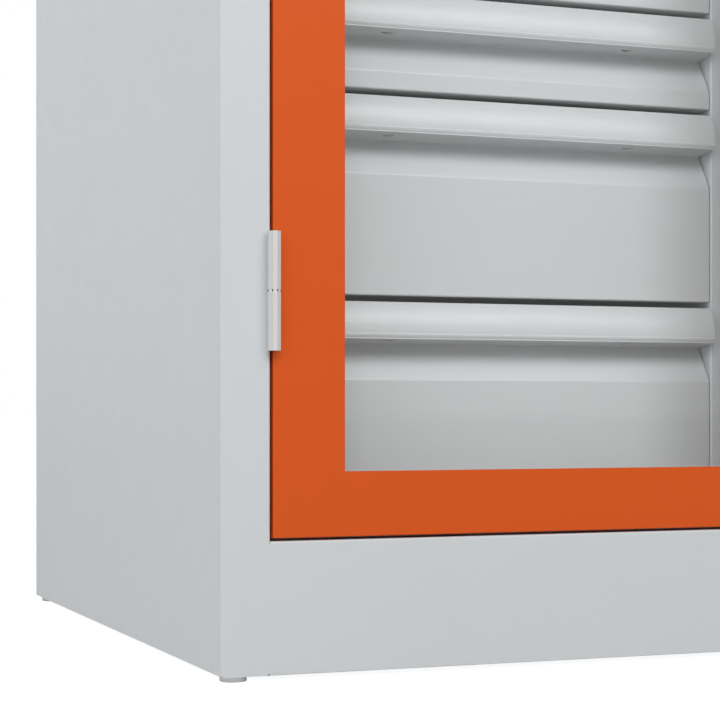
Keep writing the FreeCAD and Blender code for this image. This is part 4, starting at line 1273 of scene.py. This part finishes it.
def make_rods():
    """Locking rods with a slotted plate at the lock.

    The lower one is the upper one turned about the spindle.
    """
    low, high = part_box("rod_upper")
    foot = LOCK.z + ROD_START
    bar = rod("bar", (UPPER_ROD_X, ROD_Y, foot), (UPPER_ROD_X, ROD_Y, high.z), ROD_RADIUS)
    soften(bar, BLUNT_EDGE)
    corner = (high.x, low.y + ROD_PLATE, foot + ROD_PLATE)
    plate = block("plate", low, corner)
    round_corners(plate, Y, SMALL_CORNER)
    play = CAM_PIN + CAM_PIN_PLAY
    middle = LOCK.z - CAM_PIN_OFFSET
    start = (LOCK.x + CAM_PIN_OFFSET - play, low.y - FAR, middle - play)
    slot = block("slot", start, (LOCK.x + CAM_THROW + play, low.y + FAR, middle + play))
    round_corners(slot, Y, PLATE_CORNER, 6)
    fused(cut(plate, slot), bar)
    upper = named("upper_bar")
    here = Matrix.Translation((LOCK.x, 0, LOCK.z))
    half_turn = here @ Matrix.Rotation(math.pi, 4, "Y") @ here.inverted()
    lower = copy_of(upper, "lower_bar", half_turn)
    finished(upper, "upper_rod", "zinc", "rod_upper")
    finished(lower, "lower_rod", "zinc", "rod_lower")


def make_guides():
    """Moulded guides behind the door's ends, one for each rod."""
    low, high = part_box("rod_guides")

    def behind(edge):
        return min(vert.co.y for vert in edge.verts) > ROD_Y

    guides = []
    for x, bottom in ((UPPER_ROD_X, high.z - GUIDE_HEIGHT), (LOWER_ROD_X, low.z)):
        corner = (x + GUIDE_HALF_WIDTH, high.y, bottom + GUIDE_HEIGHT)
        guide = block("guide", (x - GUIDE_HALF_WIDTH, low.y, bottom), corner)
        bevel_edges(guide, behind, GUIDE_ROUND, 4)
        cut(guide, rod_hole(x, bottom - FAR, bottom + FAR * 3, ROD_RADIUS + GUIDE_PLAY))
        guides.append(guide)
    finished(joined("guides", guides), "door", "black_plastic", "rod_guides")


def make_keepers():
    """Plates behind the frame's edges that the rods run into."""
    low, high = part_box("rod_keepers")
    plates = []
    for x, start in ((LOWER_ROD_X, low.z), (UPPER_ROD_X, high.z - KEEPER_SHEET)):
        corner = (x + KEEPER / 2, high.y, start + KEEPER_SHEET)
        plate = block("keeper", (x - KEEPER / 2, low.y, start), corner)
        round_corners(plate, Z, SMALL_CORNER)
        cut(plate, rod_hole(x, start - FAR, start + FAR))
        soften(plate, SOFT_EDGE, 1)
        plates.append(plate)
    finished(joined("keepers", plates), "cabinet", "zinc", "rod_keepers")


# Inner fittings


def make_shelf(node):
    """Shelf folded down along its long sides, with a hem under the front edge."""
    low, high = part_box(node)
    hem = (low.y + SHELF_HEM, low.z)
    path = [hem, (low.y, low.z), (low.y, high.z), (high.y, high.z), (high.y, low.z)]
    piece = bent_sheet(f"{node}_sheet", path, "YZ", (low.x, high.x), WALL, BEND, -1)
    finished(piece, "cabinet", "carcass_paint", node)


def standing_channel(name, low, high):
    """A channel that stands upright, open to the left."""
    path = [(low.x, low.y), (high.x, low.y), (high.x, high.y), (low.x, high.y)]
    return bent_sheet(name, path, "XY", (low.z, high.z), HEAVY_WALL, BEND, 1)


def make_uprights():
    """Corner posts with a row of slots for the shelf clips."""
    low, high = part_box("upright_front_left")
    piece = standing_channel("post_front_left", low, high)
    middle = (low.y + high.y) / 2
    foot = low.z + SLOT_START
    corner = (high.x + FAR, middle + SLOT / 2, foot + SLOT_HEIGHT)
    slot = block("slot", (high.x - FAR, middle - SLOT / 2, foot), corner)
    round_corners(slot, X, SLOT_ROUND)
    slots = [slot]
    while foot + SLOT_PITCH * len(slots) + SLOT_HEIGHT < high.z:
        slots.append(moved(slot, "slot", Z * SLOT_PITCH * len(slots)))
    cut(piece, joined("slots", slots))
    behind = front_to_back(piece, "post_rear_left")
    finish_pair(piece, "zinc", "upright_front")
    finish_pair(behind, "zinc", "upright_rear")


def make_casings():
    """Folded casings that carry the slides and keep the drawers clear of the door."""
    left = standing_channel("casing_sheet_left", *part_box("casing_left"))
    finish_pair(left, "carcass_paint", "casing")


def channel(name, tip, face, low, high, ends, lying):
    """A slide member: a channel with its web at face, open towards tip, and its mirrored twin."""
    path = [(tip, low), (face, low), (face, high), (tip, high)]
    left = bent_sheet(name, path, "XZ", ends, WALL, SLIDE_BEND, lying)
    return joined(name, [left, other_hand(left, name)])


def make_slides():
    """Runners on the trays and rails on the casings."""
    low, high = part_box("drawer_1_runners")
    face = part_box("drawer_1_tray")[0].x
    runners = channel("runners_1", low.x, face, low.z, high.z, (low.y, high.y), 1)
    finish_slides(runners, "runners", "drawer", "runners")
    low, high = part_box("slide_rails")
    tip, top = low.x + RAIL_REACH, low.z + RAIL_HEIGHT
    rail = channel("rails_1", tip, low.x, low.z, top, (low.y, high.y), -1)
    rails = [rail]
    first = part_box("drawer_1_cages")[0].z
    for number in range(2, DRAWERS + 1):
        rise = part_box(f"drawer_{number}_cages")[0].z - first
        rails.append(moved(rail, "rail", Z * rise))
    finished(joined("slide_rail_sheets", rails), "cabinet", "zinc", "slide_rails")


def all_four(name, piece):
    """Joins a piece at the front left with its mirrored copies in the other corners."""
    behind = front_to_back(piece, name)
    return joined(name, [piece, behind, other_hand(piece, name), other_hand(behind, name)])


def make_clips():
    """Bent clips hooked into the uprights, which carry the loose shelf."""
    low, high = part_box("shelf_clips")
    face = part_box("upright_front_left")[1].x
    y = low.y + CLIP_WIDTH / 2
    path = [(face + CLIP_REACH, high.z), (face, high.z), (face, low.z)]
    ends = (low.y, low.y + CLIP_WIDTH)
    clip = bent_sheet("clip", path, "XZ", ends, CLIP_SHEET, CLIP_BEND, 1, DULL_EDGE)
    reach = SLOT / 2 - HOOK_PLAY
    corner = (face + HOOK_ROOT, y + reach, high.z - HOOK_PLAY)
    hook = block("hook", (low.x, y - reach, high.z - HOOK_DROP), corner)
    soften(hook, DULL_EDGE)
    finished(all_four("clips", joined("clip", [clip, hook])), "cabinet", "zinc", "shelf_clips")


def make_bumpers():
    """Rubber buttons that the closed door rests on."""
    low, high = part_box("door_bumpers")
    radius = (high.x - low.x) / 2
    rim = round_rim(radius, high.y - low.y, BLUNT_EDGE, steps=4)
    foot = (low.x + radius, high.y, low.z + radius)
    first = turned("button", foot, -Y, [(radius, 0), *rim])
    second = moved(first, "button", (0, 0, high.z - low.z - radius * 2))
    finished(joined("buttons", [first, second]), "cabinet", "rubber", "door_bumpers")


# Feet


def make_brackets():
    """Corner brackets with welded nuts for the feet."""
    low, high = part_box("foot_brackets")
    at = centre("foot_front_left")
    top = low.z + BRACKET_PLATE
    plate = block("plate", low, (low.x + BRACKET, low.y + BRACKET, top))
    round_corners(plate, Z, PLATE_CORNER)
    soften(plate, SOFT_EDGE, 1)
    nut = rod("nut", (at.x, at.y, top - NUT_ROOT), (at.x, at.y, high.z), NUT, 6)
    soften(nut, NUT_EDGE)
    below, above = (at.x, at.y, low.z - FAR), (at.x, at.y, high.z + FAR)
    cut(fused(plate, nut), rod("bore", below, above, STEM + STEM_PLAY))
    finished(all_four("corner_brackets", plate), "cabinet", "zinc", "foot_brackets")


def make_feet():
    """Levelling feet: a chamfered disc, a collar, and a threaded stem with a driver slot."""
    at = centre("foot_front_left")
    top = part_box("foot_front_left")[1].z
    level = FOOT_DISC + SIDE_LIFT
    profile = [(FOOT - inwards, up) for inwards, up in FOOT_EDGE]
    profile += [(FOOT, FOOT_DISC - DULL_EDGE), (FOOT - DULL_EDGE, FOOT_DISC)]
    profile += [(COLLAR, FOOT_DISC), (COLLAR, level), (STEM, level)]
    while level + THREAD_PITCH * 2 < top:
        profile += [(STEM - THREAD_DEPTH, level + THREAD_PITCH / 2), (STEM, level + THREAD_PITCH)]
        level += THREAD_PITCH
    profile += [(STEM - STEM_POINT, top)]
    first = turned("levelling_foot", (at.x, at.y, 0), Z, profile)
    slot_low = (at.x - FAR, at.y - DRIVER_SLOT, top - DRIVER_SLOT_DEPTH)
    cut(first, block("slot", slot_low, (at.x + FAR, at.y + DRIVER_SLOT, top + FAR)))
    for name, x, y in (("front_right", -1, 1), ("rear_left", 1, -1), ("rear_right", -1, -1)):
        twin = copy_of(first, f"levelling_foot_{name}", Matrix.Diagonal((x, y, 1, 1)))
        finished(twin, f"foot_{name}", "zinc", f"foot_{name}")
    finished(first, "foot_front_left", "zinc", "foot_front_left")


# Studio


def make_studio_floor():
    """A pale floor that keeps the shadow and is seen as white."""
    bpy.ops.object.select_all(action="DESELECT")
    bpy.ops.mesh.primitive_plane_add(size=FLOOR_SIZE)
    floor = named("studio_floor")
    settings = {"Roughness": 0.9, "Specular_IOR_Level": 0.0}
    paint = Finish("studio_floor", Base_Color=linear(200, 200, 200), **settings)
    distance = paint.away(paint.place)
    bright = paint.ramp(distance, NEAR_GLOW, 1.0, NEAR_GLOW_ENDS, FULL_GLOW_STARTS)
    directly = paint.add("ShaderNodeLightPath").outputs["Is Camera Ray"]
    share = paint.ramp(directly, MIRRORED_GLOW, 1.0, 0.0, 1.0)
    strength = wired(paint.tree, "ShaderNodeMath", bright, share, operation="MULTIPLY").outputs[0]
    glow = paint.add("ShaderNodeEmission", Color=(1, 1, 1, 1), Strength=strength)
    both = wired(paint.tree, "ShaderNodeAddShader", paint.bare, glow.outputs["Emission"])
    seen = rays_that_see(paint.tree)
    mix = wired(paint.tree, "ShaderNodeMixShader", seen, paint.bare, both.outputs["Shader"])
    paint.surface(mix.outputs["Shader"])
    floor.data.materials.append(paint.material)


def make_surround():
    """White where it is seen, in mirrors and through the pane too, and softer as a light."""
    world = bpy.data.worlds.new("surround")
    bpy.context.scene.world = world
    world.use_nodes = True
    tree = world.node_tree
    tree.nodes.clear()
    lights = []
    for strength in (SURROUND, 1.0):
        light = tree.nodes.new("ShaderNodeBackground")
        light.inputs["Color"].default_value = (1, 1, 1, 1)
        light.inputs["Strength"].default_value = strength
        lights.append(light.outputs["Background"])
    mix = wired(tree, "ShaderNodeMixShader", rays_that_see(tree), *lights)
    wired(tree, "ShaderNodeOutputWorld", mix.outputs["Shader"])


def make_lamps():
    """Four soft lamps: a front pair, one for the left side, and a weak one to fill in."""
    for name, place, aim, size, power in LAMPS:
        bpy.ops.object.light_add(type="AREA", location=place)
        lamp = bpy.context.object
        lamp.name = lamp.data.name = name
        lamp.rotation_euler = (Vector(aim) - Vector(place)).to_track_quat("-Z", "Y").to_euler()
        lamp.data.shape = "RECTANGLE"
        lamp.data.size, lamp.data.size_y = size
        lamp.data.energy = power


def make_camera():
    """The photograph's view: level, with the picture slid up to lower the horizon."""
    bpy.ops.object.camera_add(location=EYE, rotation=(math.radians(90), 0, -TURNED_RIGHT))
    camera = bpy.context.object
    camera.name = camera.data.name = "photo_camera"
    camera.data.lens = LENS_MM
    camera.data.sensor_width = SENSOR_MM
    camera.data.shift_y = HORIZON_BELOW_MIDDLE / PHOTO_WIDTH
    camera.data.clip_start = CLIP_NEAR
    camera.data.clip_end = CLIP_FAR
    bpy.context.scene.camera = camera


finish_solids()
make_sides()
make_plinth()
make_top()
make_floor()
make_brackets()
make_feet()
make_shelf("cover_shelf")
make_shelf("shelf")
make_uprights()
make_casings()
make_slides()
make_keepers()
make_clips()
make_bumpers()
for number in range(1, DRAWERS + 1):
    make_front(f"drawer_{number}")
    make_tray(f"drawer_{number}")
make_cages()
make_door_skin()
make_pane()
make_retainer()
make_rivets()
make_rosette()
make_knob()
make_cylinder()
make_lock_plate()
make_cam()
make_rods()
make_guides()
make_hinge("lower")
make_hinge("upper")
make_studio_floor()
make_surround()
make_lamps()
make_camera()
bpy.context.scene.view_settings.view_transform = "Standard"
